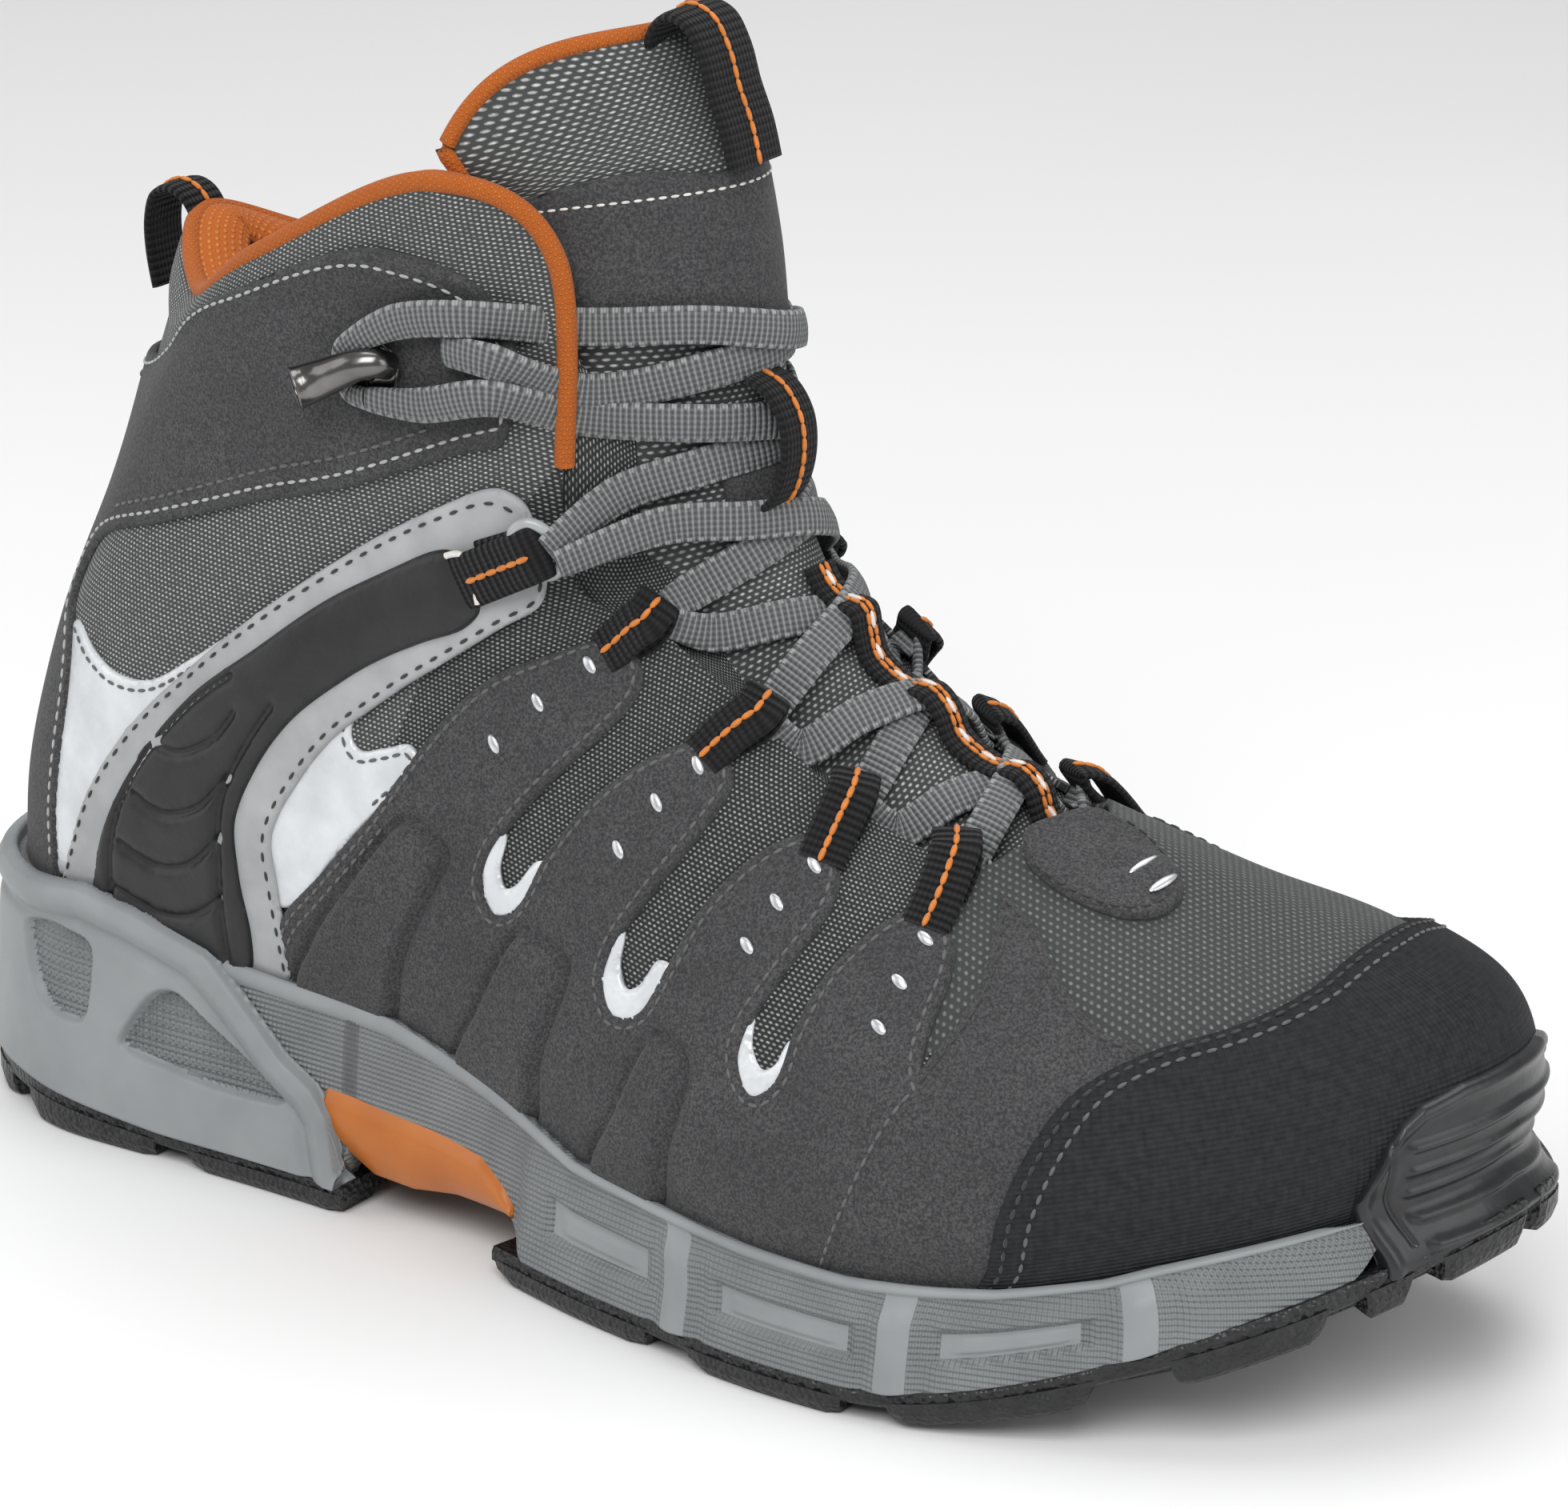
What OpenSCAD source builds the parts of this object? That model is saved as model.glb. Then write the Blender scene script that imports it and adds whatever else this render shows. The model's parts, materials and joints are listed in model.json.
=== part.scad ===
/* [Boot] */
// Overall length of the sole, heel to toe
sole_length = 297; // [291:1:303]
// Distance from the back of the heel to the origin, under the middle of the heel seat
heel_ref = 40; // [30:1:50]
// How far the toe end of the sole rises off the ground
toe_spring = 28; // [24:1:30]

/* [Sole] */
// Height of the rubber outsole under the ball
outsole_h = 5.5; // [5:0.5:6]
// Depth of the tread grooves
groove_d = 3; // [2:0.5:4]
// Length of each tread groove along the boot
groove_l = 4; // [3:0.5:5]
// Thickness of the lasting board
board_t = 1.6; // [1.2:0.2:1.8]
// Thickness of the footbed
footbed_t = 3.6; // [3:0.2:4]

/* [Upper] */
// Thickness of the outer mesh
mesh_t = 1.0; // [0.8:0.1:1]
// Thickness of the suede overlays
suede_t = 1.2; // [1:0.1:1.2]
// Thickness of the toe rand
rand_t = 1.6; // [1.4:0.1:2]
// Thickness of the moulded heel strap
strap_t = 1.9; // [1.5:0.1:2.2]
// Extra foam thickness in the collar
collar_pad = 5.5; // [4:0.5:6]
// Thickness of the tongue below the ankle
tongue_t = 4.5; // [4:0.5:5]

/* [Lacing] */
// Width of the flat lace
lace_w = 6.5; // [5.5:0.5:7]
// Thickness of the flat lace
lace_t = 1.5; // [1.2:0.1:1.6]
// Width of the webbing loops
loop_w = 9; // [8:0.5:10]
// Thickness of the webbing
webbing_t = 1.4; // [1.2:0.1:1.6]
// Inside radius of the lace ring
ring_r = 3.6; // [3.3:0.1:4]
// Radius of the wire of the lace ring
ring_wire = 1.1; // [1:0.1:1.2]
// Tube radius of the lace hook
hook_tube = 2.6; // [2.4:0.1:2.8]

/* [Hidden] */
$fn = 32;
nominal_length = 297;
stretch = sole_length / nominal_length;
last_station = 12;
turn = 2 * last_station;
layer_gap = 0.4;
eps = 0.03;
overlay_low = 0.3;
mesh_out = -0.1;
suede_in = mesh_out + 0.5;
strap_in = suede_in + suede_t + 0.5;
lining_out = -3.0;
lining_t = 1.4;
flex_u_rear = 3.9;
flex_u_toe = 3.72;

// Shape of the upper: one column of [x, half width, z] per station, toe centre (0) to heel centre (12),
// each from the feather line up to the top line
upper_net = [
  [[288, 0, 38], [291.5, 0, 51], [287.5, 0, 65], [271, 0, 74], [248.5, 0, 79], [224, 0, 87]],
  [[281, 20, 36], [284, 22, 49], [280, 20.3, 63], [265.5, 16, 72], [244.5, 11, 78], [220, 7, 86.5]],
  [[262.5, 36, 30], [265, 38.3, 44], [260.5, 34.8, 58], [251.5, 27.6, 69], [238, 20, 76], [216, 13, 85]],
  [[229, 49, 22], [230, 51.5, 36], [227, 47, 52], [222, 38, 64], [216, 29, 74], [209, 19, 82]],
  [[198, 50, 20], [199, 52, 36], [197, 46, 54], [194, 38, 69], [192, 30, 81], [189, 20.5, 89]],
  [[162, 43, 22], [163, 45.5, 40], [164, 42, 60], [166, 36, 78], [168, 29.5, 92], [171, 22, 101]],
  [[132, 36, 27], [133, 39.5, 46], [137, 38, 66], [143, 34.5, 85], [149, 29.5, 101], [153, 23, 112]],
  [[106, 33.5, 32], [107, 37.5, 53], [112, 36.5, 74], [119, 33.5, 94], [127, 30, 110], [136, 25, 121]],
  [[82, 33, 35], [84, 37, 58], [91, 35.5, 84], [103, 32.5, 112], [119, 31, 142], [136, 28, 172]],
  [[57, 33.5, 37], [60, 37, 62], [68, 35, 90], [80, 33, 120], [96, 34, 152], [116, 35, 184]],
  [[32, 32.5, 39], [36, 35.5, 64], [44, 32.5, 92], [54, 30.5, 118], [65, 31, 143], [79, 32, 166]],
  [[14, 20, 39], [18, 22, 64], [25, 20.5, 90], [35, 19, 114], [45, 19.5, 135], [57, 21, 153]],
  [[8, 0, 39], [12, 0, 60], [19, 0, 86], [27, 0, 112], [33, 0, 137], [41, 0, 160]]
];
// Outline of the sole at its widest: [x, half width] at the same stations
sole_net = [
  [297, 0], [290, 21], [270, 40.7], [229, 54.5], [198, 55], [162, 47], [128, 39.3], [103, 38], [79, 38],
  [54, 38.3], [29, 37], [8, 23.5], [0, 0]
];
// Centre line of the tongue's outer face: [x, z, half width, drop at the edge]
tongue_net = [
  [219, 79, 13, 8], [206, 88, 18, 16], [190, 97.5, 19, 18], [176, 108, 19.5, 19], [166.5, 121, 19.5, 22],
  [161, 137, 19, 24], [158.5, 155, 18.5, 24], [156.5, 172, 19, 25], [152, 188, 19.5, 26],
  [145, 200, 20, 26]
];

function clamp(x, a, b) = min(max(x, a), b);
function mix(a, b, t) = a + (b - a) * t;
function ease(x, a, b) = let(t = clamp((x - a) / (b - a), 0, 1)) t * t * (3 - 2 * t);
function unit(v) = v / norm(v);
function curve(a, b, c, d, t) =
  0.5 * (2 * b + (c - a) * t + (2 * a - 5 * b + 4 * c - d) * t * t + (3 * b - a - 3 * c + d) * t * t * t);
function steps(a, b, n) = [for (i = [0:n]) mix(a, b, i / n)];

// Sideways shift of the last's centre line: the toe swings to the medial side and the waist is pulled in
function centre(x, z) =
  13 * pow(clamp((x - 180) / 117, 0, 1), 2)
  - 5 * exp(-pow((x - 150) / 45, 2)) * clamp(1 - z / 60, 0, 1);
function place(x, w, z, side) = [x * stretch - heel_ref, side * w + centre(x, z), z];

// One station's column, mirrored past the toe and heel centres
function net_point(net, i, j) =
  i < 0 ? flip_w(net_point(net, -i, j))
  : i > last_station ? flip_w(net_point(net, turn - i, j))
  : j < 0 ? 2 * net[i][0] - net[i][1]
  : j > 5 ? 2 * net[i][5] - net[i][4]
  : net[i][j];
function flip_w(p) = len(p) == 2 ? [p[0], -p[1]] : [p[0], -p[1], p[2]];
function column_at(i, v) =
  let(j = clamp(floor(v), 0, 4))
  curve(net_point(upper_net, i, j - 1), net_point(upper_net, i, j), net_point(upper_net, i, j + 1),
        net_point(upper_net, i, j + 2), v - j);
function wrap(u) = u < 0 ? u + turn : u >= turn ? u - turn : u;
function side_of(u) = wrap(u) <= last_station ? -1 : 1;
function station_of(u) = wrap(u) <= last_station ? wrap(u) : turn - wrap(u);
function upper_point(u, v) =
  let(s = station_of(u), i = clamp(floor(s), 0, last_station - 1))
  let(p = curve(column_at(i - 1, v), column_at(i, v), column_at(i + 1, v), column_at(i + 2, v), s - i))
  place(p[0], p[1], p[2], side_of(u));
// Point a distance off the upper; u runs once round the boot from the toe by the lateral side
function skin(u, v, off) =
  let(a = upper_point(u + eps, v) - upper_point(u - eps, v))
  let(b = upper_point(u, v + eps) - upper_point(u, v - eps))
  upper_point(u, v) + off * unit(cross(b, a));

// Sole outline at station s, moved inwards by inset: [x, half width]
function sole_point(k) =
  k < 0 ? flip_w(sole_net[-k]) : k > last_station ? flip_w(sole_net[turn - k]) : sole_net[k];
function outline_raw(s) =
  let(i = clamp(floor(s), 0, last_station - 1))
  curve(sole_point(i - 1), sole_point(i), sole_point(i + 1), sole_point(i + 2), s - i);
function outline(s, inset) =
  let(d = outline_raw(s + eps) - outline_raw(s - eps))
  outline_raw(s) + inset * unit([-d[1], d[0]]);

// Heights along the boot
function ground(x) =
  toe_spring * pow(clamp((x - 210) / 87, 0, 1), 1.7) + 5 * pow(clamp((12 - x) / 12, 0, 1), 1.5);
function outsole_top(x) = ground(x) + outsole_h + 2 * ease(x, 215, 270) + 3 * ease(x, 60, 20);
function feather(x) =
  lookup(x, [[8, 39], [57, 37], [82, 35], [106, 32], [132, 27], [162, 22], [198, 20], [229, 22], [264, 30],
             [284, 36], [292, 38]]);
function floor_z(x) = feather(x) - 2.4;
function shank_top(x) = mix(22, 14, ease(x, 108, 132));

// A sheet laid on the upper: uv(a, b) gives the station and height for a and b from 0 to 1
module sheet(uv, n, m, inner, outer, medial = false) {
  at = function(a, b, off)
    let(q = uv(medial ? 1 - a : a, b))
    skin(medial ? turn - q[0] : q[0], q[1], off(q[0], q[1]));
  shell([for (off = [outer, inner]) for (i = [0:n]) for (k = [0:m]) at(i / n, k / m, off)], n, m);
}

// Closed solid from an outer grid followed by an inner grid of (n + 1) by (m + 1) points
module shell(points, n, m) {
  size = (n + 1) * (m + 1);
  id = function(i, k) i * (m + 1) + k;
  quad = function(a, b, c, d) [[a, b, c], [a, c, d]];
  faces = [
    for (i = [0:n - 1]) for (k = [0:m - 1])
      each quad(id(i, k), id(i + 1, k), id(i + 1, k + 1), id(i, k + 1)),
    for (i = [0:n - 1]) for (k = [0:m - 1])
      each quad(size + id(i, k + 1), size + id(i + 1, k + 1), size + id(i + 1, k), size + id(i, k)),
    for (i = [0:n - 1]) each quad(id(i + 1, 0), id(i, 0), size + id(i, 0), size + id(i + 1, 0)),
    for (i = [0:n - 1]) each quad(id(i, m), id(i + 1, m), size + id(i + 1, m), size + id(i, m)),
    for (k = [0:m - 1]) each quad(id(0, k), id(0, k + 1), size + id(0, k + 1), size + id(0, k)),
    for (k = [0:m - 1]) each quad(id(n, k + 1), id(n, k), size + id(n, k), size + id(n, k + 1))
  ];
  polyhedron(points, faces, convexity = 8);
}
function flat(d) = function(u, v) d;

// A slab of the sole through stations, from side to side; bottom and top vary along x, inset along s
module slab(stations, bottom, top, inset) {
  n = len(stations) - 1;
  corner = function(s, side, z_of)
    let(q = outline(s, inset(s)))
    place(q[0], max(q[1], 0.8), z_of(q[0]), side);
  points = [
    for (s = stations)
      each [corner(s, -1, bottom), corner(s, 1, bottom), corner(s, 1, top), corner(s, -1, top)]
  ];
  faces = [
    [3, 2, 1, 0],
    for (i = [0:n - 1]) for (k = [0:3]) let(a = 4 * i + k, b = 4 * i + (k + 1) % 4)
      each [[a, b + 4, a + 4], [a, b, b + 4]],
    [4 * n, 4 * n + 1, 4 * n + 2, 4 * n + 3]
  ];
  polyhedron(points, faces, convexity = 6);
}

// A wall standing on the sole outline between two stations either way round
module wall(u0, u1, n, bottom, top, inset, thickness) {
  at = function(u, z_of, extra)
    let(s = station_of(u), q = outline(s, inset(s) + extra))
    place(q[0], q[1], z_of(q[0]), side_of(u));
  shell([
    for (extra = [0, thickness]) for (i = [0:n]) let(u = mix(u0, u1, i / n))
      each [at(u, bottom, extra), at(u, top, extra)]
  ], n, 1);
}
function fixed(d) = function(s) d;

// Grooves across the tread
module tread_cuts(positions) {
  for (x = positions)
    translate([x * stretch - heel_ref - groove_l / 2, -80, ground(x) - 5])
      cube([groove_l, 160, 5 + groove_d]);
}

// The heel block and the ball of the outsole end on either side of the arch
heel_front = 7.22;
ball_back = 5.85;

module outsole_heel() {
  color("#26272a")
    difference() {
      slab(concat(steps(heel_front, 11.4, 10), [11.9]), function(x) ground(x), function(x) outsole_top(x),
           fixed(1));
      tread_cuts([22, 44, 66, 86]);
    }
}

module outsole_ball() {
  color("#26272a")
    difference() {
      slab(steps(flex_u_rear, ball_back, 8), function(x) ground(x), function(x) outsole_top(x), fixed(1));
      tread_cuts([148, 174]);
    }
}

// The bumper climbs over the toe, outside the rand
bumper_u = 1.75;
bumper_t = 1.9;
module outsole_toe() {
  color("#26272a") {
    difference() {
      slab(concat([0.1, 0.4], steps(0.8, flex_u_toe, 8)), function(x) ground(x), function(x) outsole_top(x),
           fixed(1));
      tread_cuts([228, 252, 272]);
    }
    wall(-bumper_u, bumper_u, 20, function(x) outsole_top(x) - 2, function(x) feather(x) + 2, fixed(0.4),
         bumper_t);
    sheet(function(a, b) let(u = mix(-bumper_u, bumper_u, a))
            [u, mix(0.02, mix(1.4, 0.35, ease(abs(u), 0.7, bumper_u)), b)], 20, 4,
          flat(suede_in + rand_t + layer_gap), flat(suede_in + rand_t + layer_gap + bumper_t));
  }
}

// The midsole stands out to the edge of the sole, and steps in behind the bumper and inside the heel frame
rim_t = 1.1;
rim_h = 3;
function rear_in(s) = mix(0.4, 2.8, ease(s, 7.6, 8.15));
function toe_in(s) = mix(3, 0.4, ease(s, 1.8, 2.1));
shank_front = 5.88;
shank_back = 7.19;

module midsole_rear() {
  low = function(x) x < 98.1 || x > 132 ? outsole_top(x) + 0.6 : shank_top(x) + 0.6;
  color("#8c9194") {
    slab(concat(steps(flex_u_rear, 5.83, 7), [5.855], steps(shank_front, shank_back, 8), [7.215, 7.25],
                steps(7.6, 11.8, 10)),
         low, function(x) floor_z(x), function(s) rear_in(s) + 0.4);
    wall(flex_u_rear, turn - flex_u_rear, 68, function(x) floor_z(x) - 4, function(x) feather(x) + rim_h,
         function(s) rear_in(s), rim_t);
  }
}

module midsole_toe() {
  color("#8c9194") {
    slab(steps(0.5, flex_u_toe, 10), function(x) outsole_top(x) + 0.3, function(x) floor_z(x),
         function(s) toe_in(s) + 0.4);
    for (u0 = [1.9, turn - flex_u_toe])
      wall(u0, u0 + flex_u_toe - 1.9, 10, function(x) floor_z(x) - 4, function(x) feather(x) + rim_h,
           function(s) toe_in(s), rim_t);
  }
}

module arch_shank() {
  color("#e0761c")
    slab(steps(shank_front, shank_back, 8), function(x) mix(7.5, 10, ease(x, 99, 131)),
         function(x) shank_top(x), fixed(0.6));
}

module heel_frame() {
  color("#8c9194")
    wall(8.3, turn - 8.3, 40, function(x) 13 + 4 * ease(x, 40, 76), function(x) feather(x) + 4, fixed(0.2),
         2.2);
}

module insole_slab(stations, height, thickness, inset) {
  slab(stations, function(x) floor_z(x) + height, function(x) floor_z(x) + height + thickness, fixed(inset));
}
rear_stations = concat(steps(4, 11.5, 15), [11.8]);
toe_stations = steps(0.4, 3.6, 8);
board_inset = 13;
shank_t = 1.6;
board_z = shank_t + 0.8;
footbed_z = board_z + board_t + 0.4;

module shank_plate() {
  color("#3c3f42")
    intersection() {
      insole_slab(steps(5.2, 9.6, 12), 0.4, shank_t, 8);
      translate([0, -12, 0])
        cube([160, 24, 60]);
    }
}

module lasting_board_rear() {
  color("#b9a57c")
    insole_slab(rear_stations, board_z, board_t, board_inset);
}

module lasting_board_toe() {
  color("#b9a57c")
    insole_slab(toe_stations, board_z, board_t, board_inset);
}

module footbed_rear() {
  color("#d9752b")
    insole_slab(rear_stations, footbed_z, footbed_t, board_inset + 0.5);
}

module footbed_toe() {
  color("#d9752b")
    insole_slab(toe_stations, footbed_z, footbed_t, board_inset + 0.5);
}

// Foam depth of the collar at a point of the upper
function padding(u, v) =
  let(s = station_of(u)) collar_pad * ease(s, 8, 8.8) * ease(v, 3.4, 3.9) * ease(v, 5, 4.6);

module toe_puff() {
  color("#d8d2c4")
    sheet(function(a, b) [mix(-2, 2, a), mix(0.25, 2.5, b)], 16, 9, flat(-2.5), flat(-1.6));
}

module heel_counter() {
  color("#d8d2c4")
    sheet(function(a, b) [mix(9.5, 14.5, a), mix(0.25, 2.5, b)], 20, 5, flat(-2.5), flat(-1.6));
}

// The lining and the collar foam share their rows and stations, so they lie against each other
lining_rows = [0, 0.9, 1.8, 2.6, 3.4, 3.8, 4.2, 4.6, 4.85];
pad_rows = [3.4, 3.8, 4.2, 4.6];
lining_u = 4.125;
pad_u = 8.25;
pad_in = lining_out + 1.26;
pad_out = -1.6;
station_step = 0.375;

module lining_rear() {
  n = round((turn - 2 * lining_u) / station_step);
  color("#c9651f")
    sheet(function(a, b) [mix(lining_u, turn - lining_u, a), lining_rows[round(8 * b)]], n, 8,
          function(u, v) lining_out - lining_t - padding(u, v), function(u, v) lining_out - padding(u, v));
}

module lining_toe() {
  color("#c9651f")
    sheet(function(a, b) [mix(-3.75, 3.75, a), mix(0, 4.75, b)], 24, 12, flat(lining_out - lining_t),
          flat(lining_out));
}

module collar_padding() {
  n = round((turn - 2 * pad_u) / station_step);
  color("#5b5f62")
    sheet(function(a, b) [mix(pad_u, turn - pad_u, a), pad_rows[round(3 * b)]], n, 3,
          function(u, v) pad_in - padding(u, v), flat(pad_out));
}

module quarter_mesh(medial) {
  sheet(function(a, b) [mix(4, 11.97, a), mix(0, 5, b)], 32, 10, flat(mesh_out - mesh_t), flat(mesh_out),
        medial);
}

module quarter_mesh_lateral() {
  color("#7d8382")
    quarter_mesh(false);
}

module quarter_mesh_medial() {
  color("#7d8382")
    quarter_mesh(true);
}

module vamp_mesh() {
  color("#63686a")
    sheet(function(a, b) [mix(-3.9, 3.9, a), mix(0, 4.95, b)], 26, 14, flat(mesh_out - mesh_t),
          flat(mesh_out));
}

function rand_top(u) =
  lookup(abs(u), [[0, 3.05], [1, 2.85], [2, 2.6], [2.25, 2.5], [2.5, 2.25], [2.7, 1.7], [2.85, 0.9],
                  [2.95, 0.3]]);

// Columns of the rand crowd together where its top edge drops to the feather line
rand_half = [0.27, 0.54, 0.81, 1.08, 1.35, 1.62, 1.9, 2.15, 2.35, 2.5, 2.6, 2.7, 2.76, 2.82, 2.86, 2.9, 2.95];
rand_last = len(rand_half) - 1;
rand_columns = concat([for (k = [rand_last:-1:0]) -rand_half[k]], [0], rand_half);

module toe_rand() {
  n = len(rand_columns) - 1;
  color("#2b2c2f")
    sheet(function(a, b) let(u = rand_columns[round(a * n)]) [u, mix(0.05, rand_top(u), b)], n, 12,
          flat(suede_in + 0.3), flat(suede_in + rand_t));
}

// Upper edge of the quarter overlay: four lacing fingers with deep gussets between them
finger_at = [3.98, 4.82, 5.82, 6.98];
finger_half = 0.26;
finger_step = 0.02;
function finger_top(a) =
  max([for (f = finger_at) lookup(abs(a - f), [[finger_half, 4.35], [finger_half + 3 * finger_step, 2.25]])]);
finger_edges = [
  3.5,
  for (f = finger_at) each concat([for (k = [3:-1:0]) f - finger_half - k * finger_step], [f],
                                  [for (k = [0:3]) f + finger_half + k * finger_step]),
  7.5, 7.8
];
function lean(v) = 0.25 * max(v - 1.5, 0);
module quarter_overlay(medial) {
  n = len(finger_edges) - 1;
  sheet(function(a, b) let(k = finger_edges[round(a * n)])
          let(v = mix(overlay_low, mix(finger_top(k), 1.2, ease(k, 7.3, 7.6)), b))
          [k - lean(v), v], n, 11, flat(suede_in + 0.45), flat(suede_in + suede_t), medial);
}

module quarter_overlay_lateral() {
  color("#4b4b4c")
    quarter_overlay(false);
}

module quarter_overlay_medial() {
  color("#4b4b4c")
    quarter_overlay(true);
}

// Suede between the quarter overlay and the toe rand
module vamp_overlay(medial) {
  front = function(v)
    lookup(v, [[0, 3.05], [1, 3.0], [1.7, 2.82], [2.3, 2.62], [2.6, 2.4], [3.4, 2.5], [4.3, 2.62]]);
  sheet(function(a, b) let(v = mix(overlay_low, 4.3, b)) [mix(front(v), 3.38 - lean(v), a), v], 4, 16,
        flat(suede_in), flat(suede_in + suede_t), medial);
}

module vamp_overlay_lateral() {
  color("#4b4b4c")
    vamp_overlay(false);
}

module vamp_overlay_medial() {
  color("#4b4b4c")
    vamp_overlay(true);
}

// Suede round the ankle, and the backstay below it down the heel
module ankle_overlay() {
  low = function(s) lookup(s, [[8, 4], [8.6, 3.4], [9.3, 3.05], [10, 2.85], [10.4, 2.75], [12, 2.75]]);
  high = function(s)
    lookup(s, [[8, 4.3], [8.4, 4.45], [9, 4.45], [9.8, 4.45], [10.4, 4.4], [11.3, 4.1], [12, 3.95]]);
  color("#4b4b4c") {
    sheet(function(a, b) let(u = mix(8.1, turn - 8.1, a), s = station_of(u)) [u, mix(low(s), high(s), b)],
          36, 4, flat(suede_in), flat(suede_in + suede_t));
    sheet(function(a, b) [mix(10.2, turn - 10.2, a), mix(overlay_low, 2.65, b)], 18, 6,
          flat(suede_in), flat(suede_in + suede_t));
  }
}

// The heel strap runs from the instep down to the heel
strap_path = [[9, 0.5], [8.9, 1.2], [8.5, 1.9], [8.1, 2.65], [7.75, 3.2], [7.5, 3.7]];
strap_half = [0.62, 0.5, 0.42, 0.28, 0.14, 0.07];
function along(list, t) =
  let(k = len(list) - 1, i = clamp(floor(t * k), 0, k - 1))
  curve(list[max(i - 1, 0)], list[i], list[i + 1], list[min(i + 2, k)], t * k - i);
module strap_band(from, to, inner, outer, medial) {
  sheet(function(a, b) let(q = along(strap_path, b), w = along(strap_half, b), c = mix(from, to, a))
          [q[0] + c * w, q[1] + c * w * 0.6 * ease(b, 0, 0.25)], 3, 12, flat(inner), flat(outer), medial);
}

module heel_strap_lateral() {
  color("#232427")
    strap_band(-1, 1, strap_in, strap_in + strap_t, false);
}

module heel_strap_medial() {
  color("#232427")
    strap_band(-1, 1, strap_in, strap_in + strap_t, true);
}

module strap_trims(medial) {
  strap_band(-1.65, -1.12, strap_in, strap_in + suede_t, medial);
  strap_band(1.12, 1.65, strap_in, strap_in + suede_t, medial);
}

module strap_trim_lateral() {
  color("#a9acae")
    strap_trims(false);
}

module strap_trim_medial() {
  color("#a9acae")
    strap_trims(true);
}

module heel_patches(medial) {
  sheet(function(a, b) let(u = mix(8.75, 10.1, a)) [u, mix(1.2, mix(2.3, 1.75, ease(u, 8.75, 9.6)), b)], 6, 4,
        flat(suede_in), flat(suede_in + 0.8), medial);
  sheet(function(a, b) let(v = mix(1.55, 2.25, b)) [mix(7.6 - lean(v), 8.1 - 0.5 * (v - 1.55), a), v], 3, 4,
        flat(suede_in), flat(suede_in + 0.8), medial);
}

module heel_patch_lateral() {
  color("#d5d8da")
    heel_patches(false);
}

module heel_patch_medial() {
  color("#d5d8da")
    heel_patches(true);
}

module collar_binding() {
  color("#e0761c")
    sheet(function(a, b) [mix(7.6, turn - 7.6, a), mix(5.06, 5.16, b)], 36, 1, flat(-4.2), flat(0.2));
}

// Outer face of the tongue: s runs along the tongue's control points, t across it from -1 to 1
function tongue_at(s) =
  let(k = len(tongue_net) - 1, i = clamp(floor(s), 0, k - 1))
  curve(tongue_net[max(i - 1, 0)], tongue_net[i], tongue_net[i + 1], tongue_net[min(i + 2, k)], s - i);
function tongue_raw(s, t) =
  let(p = tongue_at(s), d = tongue_at(s + 0.05) - tongue_at(s - 0.05), n = unit([d[1], -d[0]]))
  let(drop = p[3] * t * t)
  [(p[0] - n[0] * drop) * stretch - heel_ref, p[2] * t + centre(p[0], p[1]), p[1] - n[1] * drop];
function tongue_skin(s, t, off) =
  let(a = tongue_raw(s + eps, t) - tongue_raw(s - eps, t))
  let(b = tongue_raw(s, t + eps) - tongue_raw(s, t - eps))
  tongue_raw(s, t) + off * unit(cross(b, a));
module tongue_sheet(st, n, m, inner, outer) {
  at = function(a, b, off) let(q = st(a, b)) tongue_skin(q[0], q[1], off);
  shell([for (off = [outer, inner]) for (i = [0:n]) for (k = [0:m]) at(i / n, k / m, off)], n, m);
}
tilt_s = 6.15;

module tongue_lower() {
  color("#7d8382")
    tongue_sheet(function(a, b) let(t = mix(-1, 1, a)) [mix(0.1, tilt_s - 0.05 - 0.7 * t * t, b), t], 12, 24,
                 -tongue_t, 0);
}

module tongue_upper() {
  color("#7d8382")
    tongue_sheet(function(a, b) let(t = mix(-1, 1, a)) [mix(tilt_s + 0.1 + 0.1 * t * t, 9, b), t], 12, 12,
                 -tongue_t - 2, 0);
}

module tongue_patch() {
  color("#4b4b4c")
    tongue_sheet(function(a, b) [mix(6.95, 8.5, b), mix(-0.8, 0.8, a)], 10, 6, 0.4, 1.4);
}

module tongue_lower_patch() {
  color("#4b4b4c")
    tongue_sheet(function(a, b) [mix(4.35, 5.1, b), mix(-0.3, 0.3, a)], 6, 4, 0.4, 1.05);
}

// A strip of webbing bent along points in the boot's centre plane
module strip(points, y, width, thickness) {
  n = len(points) - 1;
  normal_at = function(i) let(d = points[min(i + 1, n)] - points[max(i - 1, 0)]) unit([-d[1], d[0]]);
  edge = function(side) [for (i = [0:n]) points[i] + side * thickness / 2 * normal_at(i)];
  translate([-heel_ref, y + width / 2, 0])
    rotate([90, 0, 0])
      linear_extrude(width)
        polygon(concat(edge(1), [for (i = [n:-1:0]) edge(-1)[i]]));
}
function arc_points(cx, cz, r, from, to, n) =
  [for (i = [0:n]) let(a = mix(from, to, i / n)) [cx + r * cos(a), cz + r * sin(a)]];

module tongue_loop() {
  color("#1d1e20")
    strip(concat([[158.6, 187], [155.6, 196]], arc_points(145.5, 200, 8.5, 20, 175, 8), [[135.2, 196]]), 0,
          loop_w, webbing_t);
}

module tongue_keeper() {
  color("#1d1e20")
    strip([[163.4, 132.5], [166.4, 134.5], [168, 139], [167, 146], [163.4, 149.5], [161.4, 150.6]], 0, loop_w,
          webbing_t);
}

module centre_webbing() {
  color("#1d1e20")
    tongue_sheet(function(a, b) [mix(0.9, 3.7, b), mix(-0.13, 0.13, a)], 2, 16, 6.2, 6.2 + webbing_t);
}

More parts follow.
